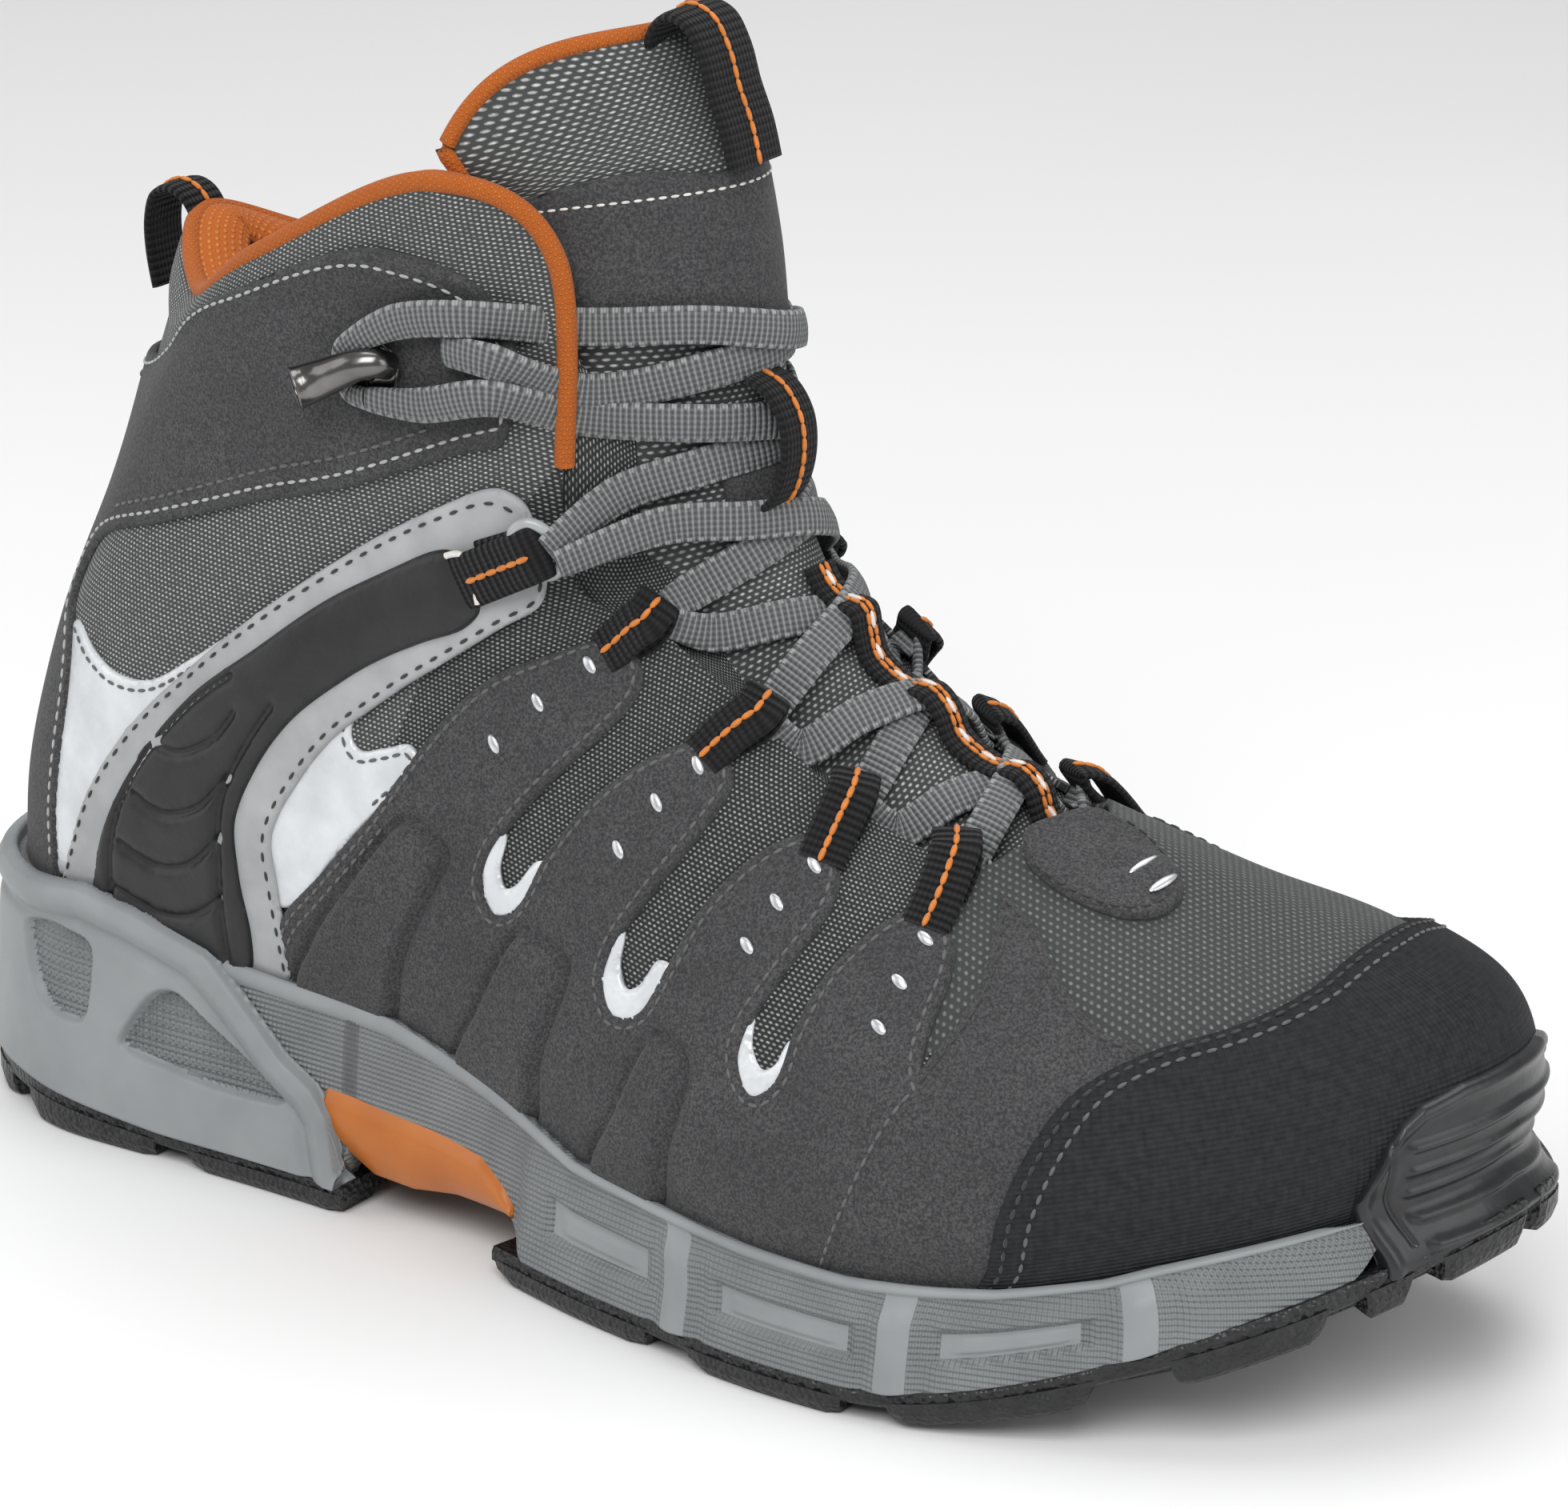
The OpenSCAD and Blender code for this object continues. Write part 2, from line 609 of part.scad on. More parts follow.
module vamp_tab() {
  color("#4b4b4c")
    sheet(function(a, b) let(w = lookup(b, [[0, 0.35], [0.3, 0.9], [1, 0.9]]))
            [mix(-w, w, a), mix(4.15, 4.9, b)],
          8, 5, flat(suede_in), flat(suede_in + suede_t));
}

// Webbing loops along the throat edge, one at each lacing row
loop_stations = [3.05, 4, 4.95, 6];
module lace_loops(medial) {
  for (s = loop_stations)
    sheet(function(a, b) [mix(s - 0.2, s + 0.2, a), mix(4.5, 5.12, b)], 2, 4, flat(suede_in + suede_t + 0.4),
          flat(suede_in + suede_t + 0.4 + 2 * webbing_t), medial);
}

module lace_loops_lateral() {
  color("#1d1e20")
    lace_loops(false);
}

module lace_loops_medial() {
  color("#1d1e20")
    lace_loops(true);
}

// The ring hangs in a webbing loop at the top end of the heel strap
ring_u = 7.1;
ring_v = 4.95;
ring_off = 8;
ring_slack = 0.95;
function ring_centre(medial) = skin(medial ? turn - ring_u : ring_u, ring_v, ring_off);
function ring_back(medial) = ring_centre(medial) - [ring_r + ring_wire, 0, 0];

module strap_loop(medial) {
  c = ring_back(medial);
  color("#1d1e20")
    translate(c)
      rotate([0, 25, 0]) {
        rotate([90, 0, 0])
          difference() {
            cylinder(r = ring_wire + ring_slack + webbing_t, h = loop_w * 0.54, center = true);
            cylinder(r = ring_wire + ring_slack, h = loop_w, center = true);
          }
      }
}

module strap_loop_lateral() {
  strap_loop(false);
}

module strap_loop_medial() {
  strap_loop(true);
}

module lace_ring(medial) {
  color("#b9bdc0")
    translate(ring_centre(medial))
      rotate_extrude($fn = 48)
        translate([ring_r + ring_wire, 0])
          circle(r = ring_wire, $fn = 24);
}

module lace_ring_lateral() {
  lace_ring(false);
}

module lace_ring_medial() {
  lace_ring(true);
}

// Open lace hook: a base plate riveted to the ankle overlay with a curled tube over it
hook_u = 8.85;
hook_v = 3.85;
hook_r = 5.2;
plate_t = 1;
rivet_r = 1.6;
function hook_base(medial) = skin(medial ? turn - hook_u : hook_u, hook_v, suede_in + suede_t + 0.5);
module at_hook(medial) {
  side = medial ? 1 : -1;
  translate(hook_base(medial))
    rotate([-90 * side, 0, 0])
      children();
}

module lace_hook(medial) {
  color("#55565a")
    at_hook(medial) {
      difference() {
        cylinder(r = 5.5, h = plate_t, $fn = 48);
        translate([0, 0, -1])
          cylinder(r = rivet_r + 0.05, h = plate_t + 2);
      }
      translate([-4.6, 0, plate_t + hook_tube + 1.4])
        rotate([90, 0, 90])
          difference() {
            cylinder(r = hook_tube, h = 9.5, center = true);
            cylinder(r = hook_tube - 1, h = 12, center = true);
          }
      translate([-6.4, -1.5, plate_t - 0.2])
        cube([3, 3, 2.4]);
    }
}

module lace_hook_lateral() {
  lace_hook(false);
}

module lace_hook_medial() {
  lace_hook(true);
}

module hook_rivets() {
  color("#8d9094")
    for (medial = [false, true])
      at_hook(medial)
        union() {
          translate([0, 0, -4])
            cylinder(r = rivet_r, h = 4 + plate_t + 0.1);
          translate([0, 0, plate_t + 0.05])
            cylinder(r = 2.4, h = 0.8);
        }
}

module heel_loop() {
  color("#1d1e20")
    strip(concat([[37.5, 158], [36.6, 164]], arc_points(40.6, 167, 4.2, 170, 10, 8), [[45.4, 163]]), 0,
          loop_w, webbing_t);
}

// A length of flat lace through points, lying square to the up directions
module lace_run(points, ups) {
  n = len(points) - 1;
  across = function(i) unit(cross(points[min(i + 1, n)] - points[max(i - 1, 0)], ups[i]));
  lift = function(i) unit(cross(across(i), points[min(i + 1, n)] - points[max(i - 1, 0)]));
  shell([
    for (k = [1, -1]) for (i = [0:n])
      each [points[i] + k * lace_t / 2 * lift(i) + lace_w / 2 * across(i),
            points[i] + k * lace_t / 2 * lift(i) - lace_w / 2 * across(i)]
  ], n, 1);
}
// Crossing from a lateral loop at station a to a medial loop at station b, over the tongue between sa and sb
module crossing(a, b, sa, sb, off, medial) {
  end = function(u) skin(medial ? turn - u : u, lace_end_v, off + 2);
  over = [for (t = steps(-0.5, 0.5, 6)) [mix(sa, sb, t + 0.5), medial ? -t : t]];
  points = concat([end(a)], [for (q = over) tongue_skin(q[0], q[1], off)], [end(turn - b)]);
  up = function(q) tongue_skin(q[0], q[1], 1) - tongue_skin(q[0], q[1], 0);
  lace_run(points, concat([up(over[0])], [for (q = over) up(q)], [up(over[6])]));
}
lace_end_v = 5.4;
// One row of crossings: the stations at its front and rear loops, and the tongue's s beside each
lace_rows = [[3.2, 3.88, 0.8, 1.4], [4.2, 4.8, 1.85, 2.45], [5.12, 5.8, 2.95, 3.55]];
low_off = 1.6;
high_off = 4;

module lace_lower() {
  color("#8b8d8e") {
    for (row = lace_rows) {
      crossing(row[0], row[1], row[2], row[3], low_off, false);
      crossing(row[0], row[1], row[2], row[3], high_off, true);
    }
  }
}

// A straight run of lace across the tongue
module level_run(s, off, reach) {
  ts = steps(-reach, reach, 8);
  lace_run([for (t = ts) tongue_skin(s, t, off + 2.6 * t * t)],
           [for (t = ts) tongue_skin(s, t, 2) - tongue_skin(s, t, 0)]);
}

module lace_upper() {
  color("#8b8d8e") {
    level_run(4.3, 3.2, 0.7);
    level_run(5.95, 3.4, 0.7);
  }
}

outsole_heel();
outsole_ball();
outsole_toe();
midsole_rear();
midsole_toe();
arch_shank();
heel_frame();
lasting_board_rear();
lasting_board_toe();
footbed_rear();
footbed_toe();
shank_plate();
toe_puff();
heel_counter();
lining_rear();
lining_toe();
collar_padding();
quarter_mesh_lateral();
quarter_mesh_medial();
vamp_mesh();
toe_rand();
quarter_overlay_lateral();
quarter_overlay_medial();
vamp_overlay_lateral();
vamp_overlay_medial();
ankle_overlay();
heel_strap_lateral();
heel_strap_medial();
strap_trim_lateral();
strap_trim_medial();
heel_patch_lateral();
heel_patch_medial();
collar_binding();
tongue_lower();
tongue_upper();
tongue_patch();
tongue_lower_patch();
tongue_loop();
tongue_keeper();
centre_webbing();
vamp_tab();
lace_loops_lateral();
lace_loops_medial();
strap_loop_lateral();
strap_loop_medial();
lace_ring_lateral();
lace_ring_medial();
lace_hook_lateral();
lace_hook_medial();
hook_rivets();
heel_loop();
lace_lower();
lace_upper();
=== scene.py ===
import json
import math
import random
import bpy
import numpy as np
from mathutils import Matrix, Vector
from mathutils.geometry import delaunay_2d_cdt


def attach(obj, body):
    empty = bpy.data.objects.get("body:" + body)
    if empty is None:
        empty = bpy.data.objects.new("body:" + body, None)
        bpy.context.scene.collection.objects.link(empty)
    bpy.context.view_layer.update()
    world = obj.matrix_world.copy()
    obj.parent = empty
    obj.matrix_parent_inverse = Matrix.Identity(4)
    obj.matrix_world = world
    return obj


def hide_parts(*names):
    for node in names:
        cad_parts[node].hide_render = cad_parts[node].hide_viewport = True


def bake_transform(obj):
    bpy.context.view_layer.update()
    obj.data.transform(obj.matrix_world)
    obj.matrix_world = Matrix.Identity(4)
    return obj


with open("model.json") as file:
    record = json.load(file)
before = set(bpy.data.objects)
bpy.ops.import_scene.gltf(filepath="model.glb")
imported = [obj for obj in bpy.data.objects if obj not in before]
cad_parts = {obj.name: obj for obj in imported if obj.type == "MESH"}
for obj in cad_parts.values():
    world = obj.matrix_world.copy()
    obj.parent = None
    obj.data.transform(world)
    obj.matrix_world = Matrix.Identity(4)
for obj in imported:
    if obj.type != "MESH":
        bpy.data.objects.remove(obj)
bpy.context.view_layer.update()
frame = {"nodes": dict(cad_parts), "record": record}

# ---------------------------------------------------------------- sizes, in millimetres from the back of the heel
MM = 0.001
JOINTS = {j["name"]: j for j in frame["record"]["behaviour"]["joints"]}
LENGTH = 297.0
HEEL_REF = 40.0
LAST = 12
TURN = 24
SUEDE = 1.3
LACE_WIDE = 6.4
FLEX = (JOINTS["toe_flex"]["pos_m"][0] / MM + HEEL_REF, JOINTS["toe_flex"]["pos_m"][2] / MM)
TILT = (JOINTS["tongue_tilt"]["pos_m"][0] / MM + HEEL_REF, JOINTS["tongue_tilt"]["pos_m"][2] / MM)

# Shape of the upper: one column of [x, half width, z] per station from the toe centre (0) to the heel centre (12),
# each from the feather line up to the top line. part.scad holds the same shape.
UPPER = np.array([
    [[288, 0, 38], [291.5, 0, 51], [287.5, 0, 65], [271, 0, 74], [248.5, 0, 79], [224, 0, 87]],
    [[281, 20, 36], [284, 22, 49], [280, 20.3, 63], [265.5, 16, 72], [244.5, 11, 78], [220, 7, 86.5]],
    [[262.5, 36, 30], [265, 38.3, 44], [260.5, 34.8, 58], [251.5, 27.6, 69], [238, 20, 76], [216, 13, 85]],
    [[229, 49, 22], [230, 51.5, 36], [227, 47, 52], [222, 38, 64], [216, 29, 74], [209, 19, 82]],
    [[198, 50, 20], [199, 52, 36], [197, 46, 54], [194, 38, 69], [192, 30, 81], [189, 20.5, 89]],
    [[162, 43, 22], [163, 45.5, 40], [164, 42, 60], [166, 36, 78], [168, 29.5, 92], [171, 22, 101]],
    [[132, 36, 27], [133, 39.5, 46], [137, 38, 66], [143, 34.5, 85], [149, 29.5, 101], [153, 23, 112]],
    [[106, 33.5, 32], [107, 37.5, 53], [112, 36.5, 74], [119, 33.5, 94], [127, 30, 110], [136, 25, 121]],
    [[82, 33, 35], [84, 37, 58], [91, 35.5, 84], [103, 32.5, 112], [119, 31, 142], [136, 28, 172]],
    [[57, 33.5, 37], [60, 37, 62], [68, 35, 90], [80, 33, 120], [96, 34, 152], [116, 35, 184]],
    [[32, 32.5, 39], [36, 35.5, 64], [44, 32.5, 92], [54, 30.5, 118], [65, 31, 143], [79, 32, 166]],
    [[14, 20, 39], [18, 22, 64], [25, 20.5, 90], [35, 19, 114], [45, 19.5, 135], [57, 21, 153]],
    [[8, 0, 39], [12, 0, 60], [19, 0, 86], [27, 0, 112], [33, 0, 137], [41, 0, 160]],
], float)
# Outline of the sole at its widest: [x, half width] at the same stations
SOLE = np.array([[297, 0], [290, 21], [270, 40.7], [229, 54.5], [198, 55], [162, 47], [128, 39.3], [103, 38],
                 [79, 38], [54, 38.3], [29, 37], [8, 23.5], [0, 0]], float)
# Centre line of the tongue's outer face: [x, z, half width, drop at the edge]
TONGUE = np.array([[219, 79, 14, 8], [206, 88, 20, 18], [190, 97.5, 21, 21], [176, 108, 21.5, 22],
                   [166.5, 121, 21.5, 25], [161, 137, 22, 27], [158.5, 155, 23, 27], [156.5, 172, 24, 28],
                   [152, 188, 28, 31], [145, 200, 34, 33]], float)


# ---------------------------------------------------------------- shape functions
def ease(x, a, b):
    t = np.clip((np.asarray(x, float) - a) / (b - a), 0, 1)
    return t * t * (3 - 2 * t)


def mix(a, b, t):
    return a + (b - a) * t


def bump(x, a, b, w):
    """1 between a and b, falling to 0 over w outside."""
    return ease(x, a - w, a) * (1 - ease(x, b, b + w))


def weights(t):
    return [0.5 * (-t + 2 * t**2 - t**3), 0.5 * (2 - 5 * t**2 + 3 * t**3),
            0.5 * (t + 4 * t**2 - 3 * t**3), 0.5 * (-t**2 + t**3)]


def centre(x, z):
    swing = 13 * np.clip((x - 180) / 117, 0, 1)**2
    return swing - 5 * np.exp(-((x - 150) / 45)**2) * np.clip(1 - z / 60, 0, 1)


def ring_of(net):
    """The net's columns once round the boot, with signed half widths, and six columns over at each end."""
    out = []
    for k in range(-6, TURN + 7):
        s = k % TURN
        col = net[s if s <= LAST else TURN - s].copy()
        col[..., 1] *= -1 if s <= LAST else 1
        out.append(col)
    return np.array(out)


_rows = np.concatenate([2 * UPPER[:, :1] - UPPER[:, 1:2], UPPER, 2 * UPPER[:, -1:] - UPPER[:, -2:-1]], axis=1)
UPPER_RING = ring_of(_rows)
SOLE_RING = ring_of(SOLE)


def upper_raw(u, v):
    u, v = np.broadcast_arrays(np.asarray(u, float), np.asarray(v, float))
    i, j = np.clip(np.floor(u), -5, TURN + 4).astype(int), np.clip(np.floor(v), 0, 4).astype(int)
    wu, wv = weights(u - i), weights(v - j)
    p = sum((wu[a] * wv[b])[..., None] * UPPER_RING[i + 5 + a, j + b] for a in range(4) for b in range(4))
    p[..., 1] += centre(p[..., 0], p[..., 2])
    return p


def normal_of(f, a, b, e=0.03):
    n = np.cross(f(a, b + e) - f(a, b - e), f(a + e, b) - f(a - e, b))
    return n / np.maximum(np.linalg.norm(n, axis=-1, keepdims=True), 1e-9)


def half(u):
    """The station counted from the toe whichever way round: 0 to 12."""
    return np.abs((np.asarray(u, float) + LAST) % TURN - LAST)


def relief(u, v):
    """Soft swelling of the padded upper: the collar roll, the ankle foam and slack in the gussets."""
    s = half(u)
    collar = 1.6 * bump(v, 4.62, 4.85, 0.3) * ease(s, 7.9, 8.8)
    ankle = 1.2 * bump(v, 2.2, 2.5, 0.8) * bump(s, 8.6, 10.2, 1.0)
    return collar + ankle


def skin(u, v, off=0.0):
    n = normal_of(upper_raw, np.asarray(u, float), np.asarray(v, float))
    return upper_raw(u, v) + n * (np.asarray(off) + relief(u, v))[..., None]


def outline(u, inset):
    u = np.asarray(u, float)

    def raw(u):
        i = np.clip(np.floor(u), -5, TURN + 4).astype(int)
        w = weights(u - i)
        return sum(w[a][..., None] * SOLE_RING[i + 5 + a] for a in range(4))
    d = raw(u + 0.03) - raw(u - 0.03)
    n = np.stack([d[..., 1], -d[..., 0]], -1)
    n /= np.linalg.norm(n, axis=-1, keepdims=True)
    return raw(u) + n * np.asarray(inset, float)[..., None]


def ground(x):
    return 28 * np.clip((x - 210) / 87, 0, 1)**1.7 + 5 * np.clip((12 - x) / 12, 0, 1)**1.5


def outsole_top(x):
    return ground(x) + 5.5 + 2 * ease(x, 215, 270) + 3 * (1 - ease(x, 20, 60))


def rim_z(x):
    return np.interp(x, [0, 25, 44, 65, 80, 106, 136, 152, 173, 190, 210, 235, 253, 261, 282, 297],
                     [44, 45.5, 47, 41, 40, 39, 31.5, 27, 25.5, 24.5, 24, 26, 29, 31.5, 37, 41])


def tongue_row(s):
    s = np.asarray(s, float)
    net = np.vstack([2 * TONGUE[:1] - TONGUE[1:2], TONGUE, 2 * TONGUE[-1:] - TONGUE[-2:-1]])
    i = np.clip(np.floor(s), 0, len(TONGUE) - 2).astype(int)
    w = weights(s - i)
    return sum(w[a][..., None] * net[i + a] for a in range(4))


def tongue_raw(s, t):
    s, t = np.broadcast_arrays(np.asarray(s, float), np.asarray(t, float))
    p, d = tongue_row(s), tongue_row(s + 0.05) - tongue_row(s - 0.05)
    n = np.stack([d[..., 1], -d[..., 0]], -1)
    n /= np.linalg.norm(n, axis=-1, keepdims=True)
    drop = p[..., 3] * t * t
    x, z = p[..., 0] - n[..., 0] * drop, p[..., 1] - n[..., 1] * drop
    z = z + 8 * ease(s, 7, 9.4) * t * t
    return np.stack([x, p[..., 2] * t + centre(p[..., 0], p[..., 1]), z], -1)


def tongue_skin(s, t, off=0.0):
    s, t = np.broadcast_arrays(np.asarray(s, float), np.asarray(t, float))
    n = normal_of(lambda a, b: tongue_raw(b, -a), -t, s)
    return tongue_raw(s, t) + n * np.asarray(off)[..., None]


# ---------------------------------------------------------------- mesh building
FLEX_DIR = (0.94, 0.0, -0.34)
FLEX_HALF = 20.5
PIECES = []


def to_row(p):
    q = np.array(p, float)
    q[..., 0] -= HEEL_REF
    return q * MM


def settle(obj, body, replaces=()):
    """Give a piece its body, or bake the toe's and the tongue's pieces in place, then hide the CAD parts it replaces
    and list it.
    """
    if body == "flex":
        a = [FLEX[0] - FLEX_HALF * FLEX_DIR[0], 0, FLEX[1] - FLEX_HALF * FLEX_DIR[2]]
        b = [FLEX[0] + FLEX_HALF * FLEX_DIR[0], 0, FLEX[1] + FLEX_HALF * FLEX_DIR[2]]
        tuple(to_row(a))
        tuple(to_row(b))
        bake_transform(obj)
    elif body == "tilt":
        tuple(to_row([TILT[0], 0, TILT[1] - 16]))
        tuple(to_row([TILT[0], 0, TILT[1] + 14]))
        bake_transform(obj)
    else:
        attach(obj, body)
    if replaces:
        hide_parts(*replaces)
    PIECES.append(obj.name)
    return obj


def make(name, verts, faces, mat, body, uvs=None, replaces=(), smooth=True):
    """verts in millimetres from the heel; uvs in millimetres, one per vertex."""
    mesh = bpy.data.meshes.new(name)
    mesh.from_pydata([tuple(p) for p in to_row(verts)], [], [tuple(int(i) for i in f) for f in faces])
    mesh.validate()
    if uvs is not None:
        layer = mesh.uv_layers.new(name="UVMap")
        loops = np.zeros(len(mesh.loops), int)
        mesh.loops.foreach_get("vertex_index", loops)
        layer.data.foreach_set("uv", np.asarray(uvs, np.float32)[loops].ravel())
    mesh.materials.append(mat)
    if smooth:
        mesh.polygons.foreach_set("use_smooth", [True] * len(mesh.polygons))
    mesh.update()
    obj = bpy.data.objects.new(name, mesh)
    bpy.context.scene.collection.objects.link(obj)
    return settle(obj, body, replaces)


def grid_faces(n, m, start=0, flip=False, wrap_n=False, wrap_m=False):
    """Quads of an n by m grid of points, row after row."""
    i, k = np.meshgrid(np.arange(n if wrap_n else n - 1), np.arange(m if wrap_m else m - 1), indexing="ij")
    a, b = i * m + k, ((i + 1) % n) * m + k
    c, d = ((i + 1) % n) * m + (k + 1) % m, i * m + (k + 1) % m
    q = np.stack([a, b, c, d], -1).reshape(-1, 4) + start
    return q[:, ::-1] if flip else q


def closed_sheet(outer, inner):
    """Verts and faces of a solid between two n by m grids of points."""
    n, m = outer.shape[:2]
    size = n * m
    top = grid_faces(n, m, flip=True)
    low = grid_faces(n, m, start=size)
    ring = [(i, 0) for i in range(n)] + [(n - 1, k) for k in range(1, m)]
    ring += [(i, m - 1) for i in range(n - 2, -1, -1)] + [(0, k) for k in range(m - 2, 0, -1)]
    ids = np.array([i * m + k for i, k in ring])
    nxt = np.roll(ids, -1)
    side = np.stack([ids, nxt, nxt + size, ids + size], -1)
    return np.concatenate([outer.reshape(-1, 3), inner.reshape(-1, 3)]), np.concatenate([top, low, side])


def spline(points, per=10, closed=True):
    """Smooth curve through points (centripetal), each stretch cut in per pieces."""
    p = np.array(points, float)
    n = len(p)
    scale = np.array([28.0, 21.0] + [1.0] * (p.shape[1] - 2)) if p.shape[1] == 2 else 1.0
    out = []
    for i in range(n if closed else n - 1):
        if closed:
            q = [p[(i + k) % n] for k in (-1, 0, 1, 2)]
        else:
            q = [p[max(i - 1, 0)], p[i], p[i + 1], p[min(i + 2, n - 1)]]
        t = [0.0]
        for a, b in zip(q, q[1:]):
            t.append(t[-1] + max(np.linalg.norm((b - a) * scale), 1e-4)**0.5)
        for x in np.linspace(t[1], t[2], per, endpoint=False):
            lerp = lambda a, b, ta, tb: a + (b - a) * (x - ta) / (tb - ta)
            a1, a2, a3 = lerp(q[0], q[1], t[0], t[1]), lerp(q[1], q[2], t[1], t[2]), lerp(q[2], q[3], t[2], t[3])
            b1, b2 = lerp(a1, a2, t[0], t[2]), lerp(a2, a3, t[1], t[3])
            out.append(lerp(b1, b2, t[1], t[2]))
    if not closed:
        out.append(p[-1])
    return np.array(out)


def resample(p, step, closed=True, metric=(28.0, 21.0)):
    q = np.vstack([p, p[:1]]) if closed else p
    w = q * np.array(metric) if q.shape[1] == 2 else q
    d = np.r_[0, np.cumsum(np.linalg.norm(np.diff(w, axis=0), axis=1))]
    n = max(int(round(d[-1] / step)), 3)
    t = np.linspace(0, d[-1], n + 1)
    r = np.stack([np.interp(t, d, q[:, k]) for k in range(q.shape[1])], -1)
    return r[:-1] if closed else r


def inside(poly, pts):
    x, y = pts[:, 0], pts[:, 1]
    res = np.zeros(len(pts), bool)
    a, b = poly, np.roll(poly, -1, axis=0)
    for (x0, y0), (x1, y1) in zip(a, b):
        if y0 == y1:
            continue
        hit = (y0 > y) != (y1 > y)
        res ^= hit & (x < (x1 - x0) * (y - y0) / (y1 - y0) + x0)
    return res


def nearest(points, line):
    """Distance from each point to the nearest of a dense line of points."""
    out = np.full(len(points), 1e9)
    for k in range(0, len(line), 64):
        d = np.linalg.norm(points[:, None] - line[None, k:k + 64], axis=-1)
        out = np.minimum(out, d.min(axis=1))
    return out


class Skin:
    """A sheet's ground: its point function and the size of one unit of u and v in millimetres."""
    def __init__(self, point, metric):
        self.point, self.metric = point, np.array(metric, float)


UPPER_SKIN = Skin(skin, (28.0, 21.0))
TONGUE_SKIN = Skin(lambda s, t, off: tongue_skin(s, t, off), (17.0, 25.0))


def panel(name, points, mat, body="boot", base=0.0, thick=SUEDE, edge=0.9, step=1.2, shape=None, grooves=(),
          medial=False, ground_skin=UPPER_SKIN, replaces=(), smooth_outline=True, per=8):
    """A sheet cut to an outline and laid on the upper, with a rounded edge, pressed grooves and an optional shape."""
    m = ground_skin.metric
    rim = spline(points, per) if smooth_outline else np.array(points, float)
    rim = resample(rim, step * 0.85, metric=m)
    rim_w = rim * m
    lo, hi = rim_w.min(axis=0), rim_w.max(axis=0)
    gx, gy = np.meshgrid(np.arange(lo[0], hi[0], step), np.arange(lo[1], hi[1], step * 0.87), indexing="ij")
    gx = gx + (np.arange(gx.shape[1]) % 2) * step / 2
    inner = np.stack([gx.ravel(), gy.ravel()], -1)
    area = np.cross(rim_w, np.roll(rim_w, -1, axis=0)).sum()
    tangent = np.roll(rim_w, -1, axis=0) - np.roll(rim_w, 1, axis=0)
    inward = np.stack([-tangent[:, 1], tangent[:, 0]], -1) * np.sign(area)
    inward /= np.maximum(np.linalg.norm(inward, axis=1, keepdims=True), 1e-9)
    rings = [rim_w + inward * d for d in (edge * 0.3, edge)]
    lines = [resample(spline(g, 8, closed=False), step * 0.8, closed=False, metric=m) * m for g, _, _ in grooves]
    extra = []
    for line, (_, w, _) in zip(lines, grooves):
        t = np.gradient(line, axis=0)
        side = np.stack([-t[:, 1], t[:, 0]], -1)
        side /= np.maximum(np.linalg.norm(side, axis=1, keepdims=True), 1e-9)
        extra += [line, line + side * w * 0.8, line - side * w * 0.8]
    cloud = [inner]
    for ring, d in zip(rings, (edge * 0.3, edge)):
        cloud.append(ring[nearest(ring, rim_w) > d * 0.85])
    if extra:
        ex = np.concatenate(extra)
        cloud[0] = inner[nearest(inner, ex) > step * 0.45]
        cloud.append(ex)
    pts = np.concatenate(cloud)
    far = nearest(pts, rim_w)
    pts = pts[inside(rim_w, pts) & (far > edge * 0.22)]
    allp = np.concatenate([rim_w, pts])
    n = len(rim_w)
    verts, _, tris, *_ = delaunay_2d_cdt([Vector(p) for p in allp], [], [list(range(n))], 1, 1e-5)
    w = np.array([tuple(v) for v in verts])
    tris = np.array([t for t in tris if len(t) == 3])
    uv = w / m
    at = lambda off: ground_skin.point(TURN - uv[:, 0] if medial else uv[:, 0], uv[:, 1], off)
    base_pts = at(np.zeros(len(uv)))
    rim_uv = resample(rim, 0.4, metric=m)
    rim_pts = ground_skin.point(TURN - rim_uv[:, 0] if medial else rim_uv[:, 0], rim_uv[:, 1], np.zeros(len(rim_uv)))
    far = nearest(base_pts, rim_pts)
    far[far < 0.25] = 0
    r = np.clip(far / edge, 0, 1)
    h = base + thick * (0.35 + 0.65 * np.sqrt(1 - (1 - r)**2))
    if shape is not None:
        h = h + shape(uv[:, 0], uv[:, 1], far) * np.clip(far / (edge * 2), 0, 1)
    for line, (_, gw, depth) in zip(lines, grooves):
        guv = resample(line / m, 0.5, closed=False, metric=m)
        gp = ground_skin.point(TURN - guv[:, 0] if medial else guv[:, 0], guv[:, 1], np.zeros(len(guv)))
        h = h - depth * np.exp(-(nearest(base_pts, gp) / gw)**2)
    top, low = at(h), at(np.full(len(uv), base - 0.25))
    k = len(uv)
    count = {}
    for t in tris:
        for a, b in ((t[0], t[1]), (t[1], t[2]), (t[2], t[0])):
            key = (min(a, b), max(a, b))
            count[key] = None if key in count else (a, b)
    border = np.array([e for e in count.values() if e is not None])
    used = np.zeros(k, bool)
    used[tris.ravel()] = True
    out = (top - low)[tris[:, 0]]
    wrong = (np.cross(top[tris[:, 1]] - top[tris[:, 0]], top[tris[:, 2]] - top[tris[:, 0]]) * out).sum() < 0
    if wrong:
        tris, border = tris[:, ::-1], border[:, ::-1]
    sides = np.stack([border[:, 1], border[:, 0], border[:, 0] + k, border[:, 1] + k], -1)
    index = np.full(2 * k, -1)
    mask = np.concatenate([used, used])
    index[mask] = np.arange(mask.sum())
    faces = [tuple(index[t]) for t in tris] + [tuple(index[t[::-1] + k]) for t in tris] + [tuple(index[q]) for q in sides]
    allv = np.concatenate([top, low])[mask]
    uvs = np.concatenate([w, w])[mask]
    return make(name, allv, faces, mat, body, uvs, replaces)


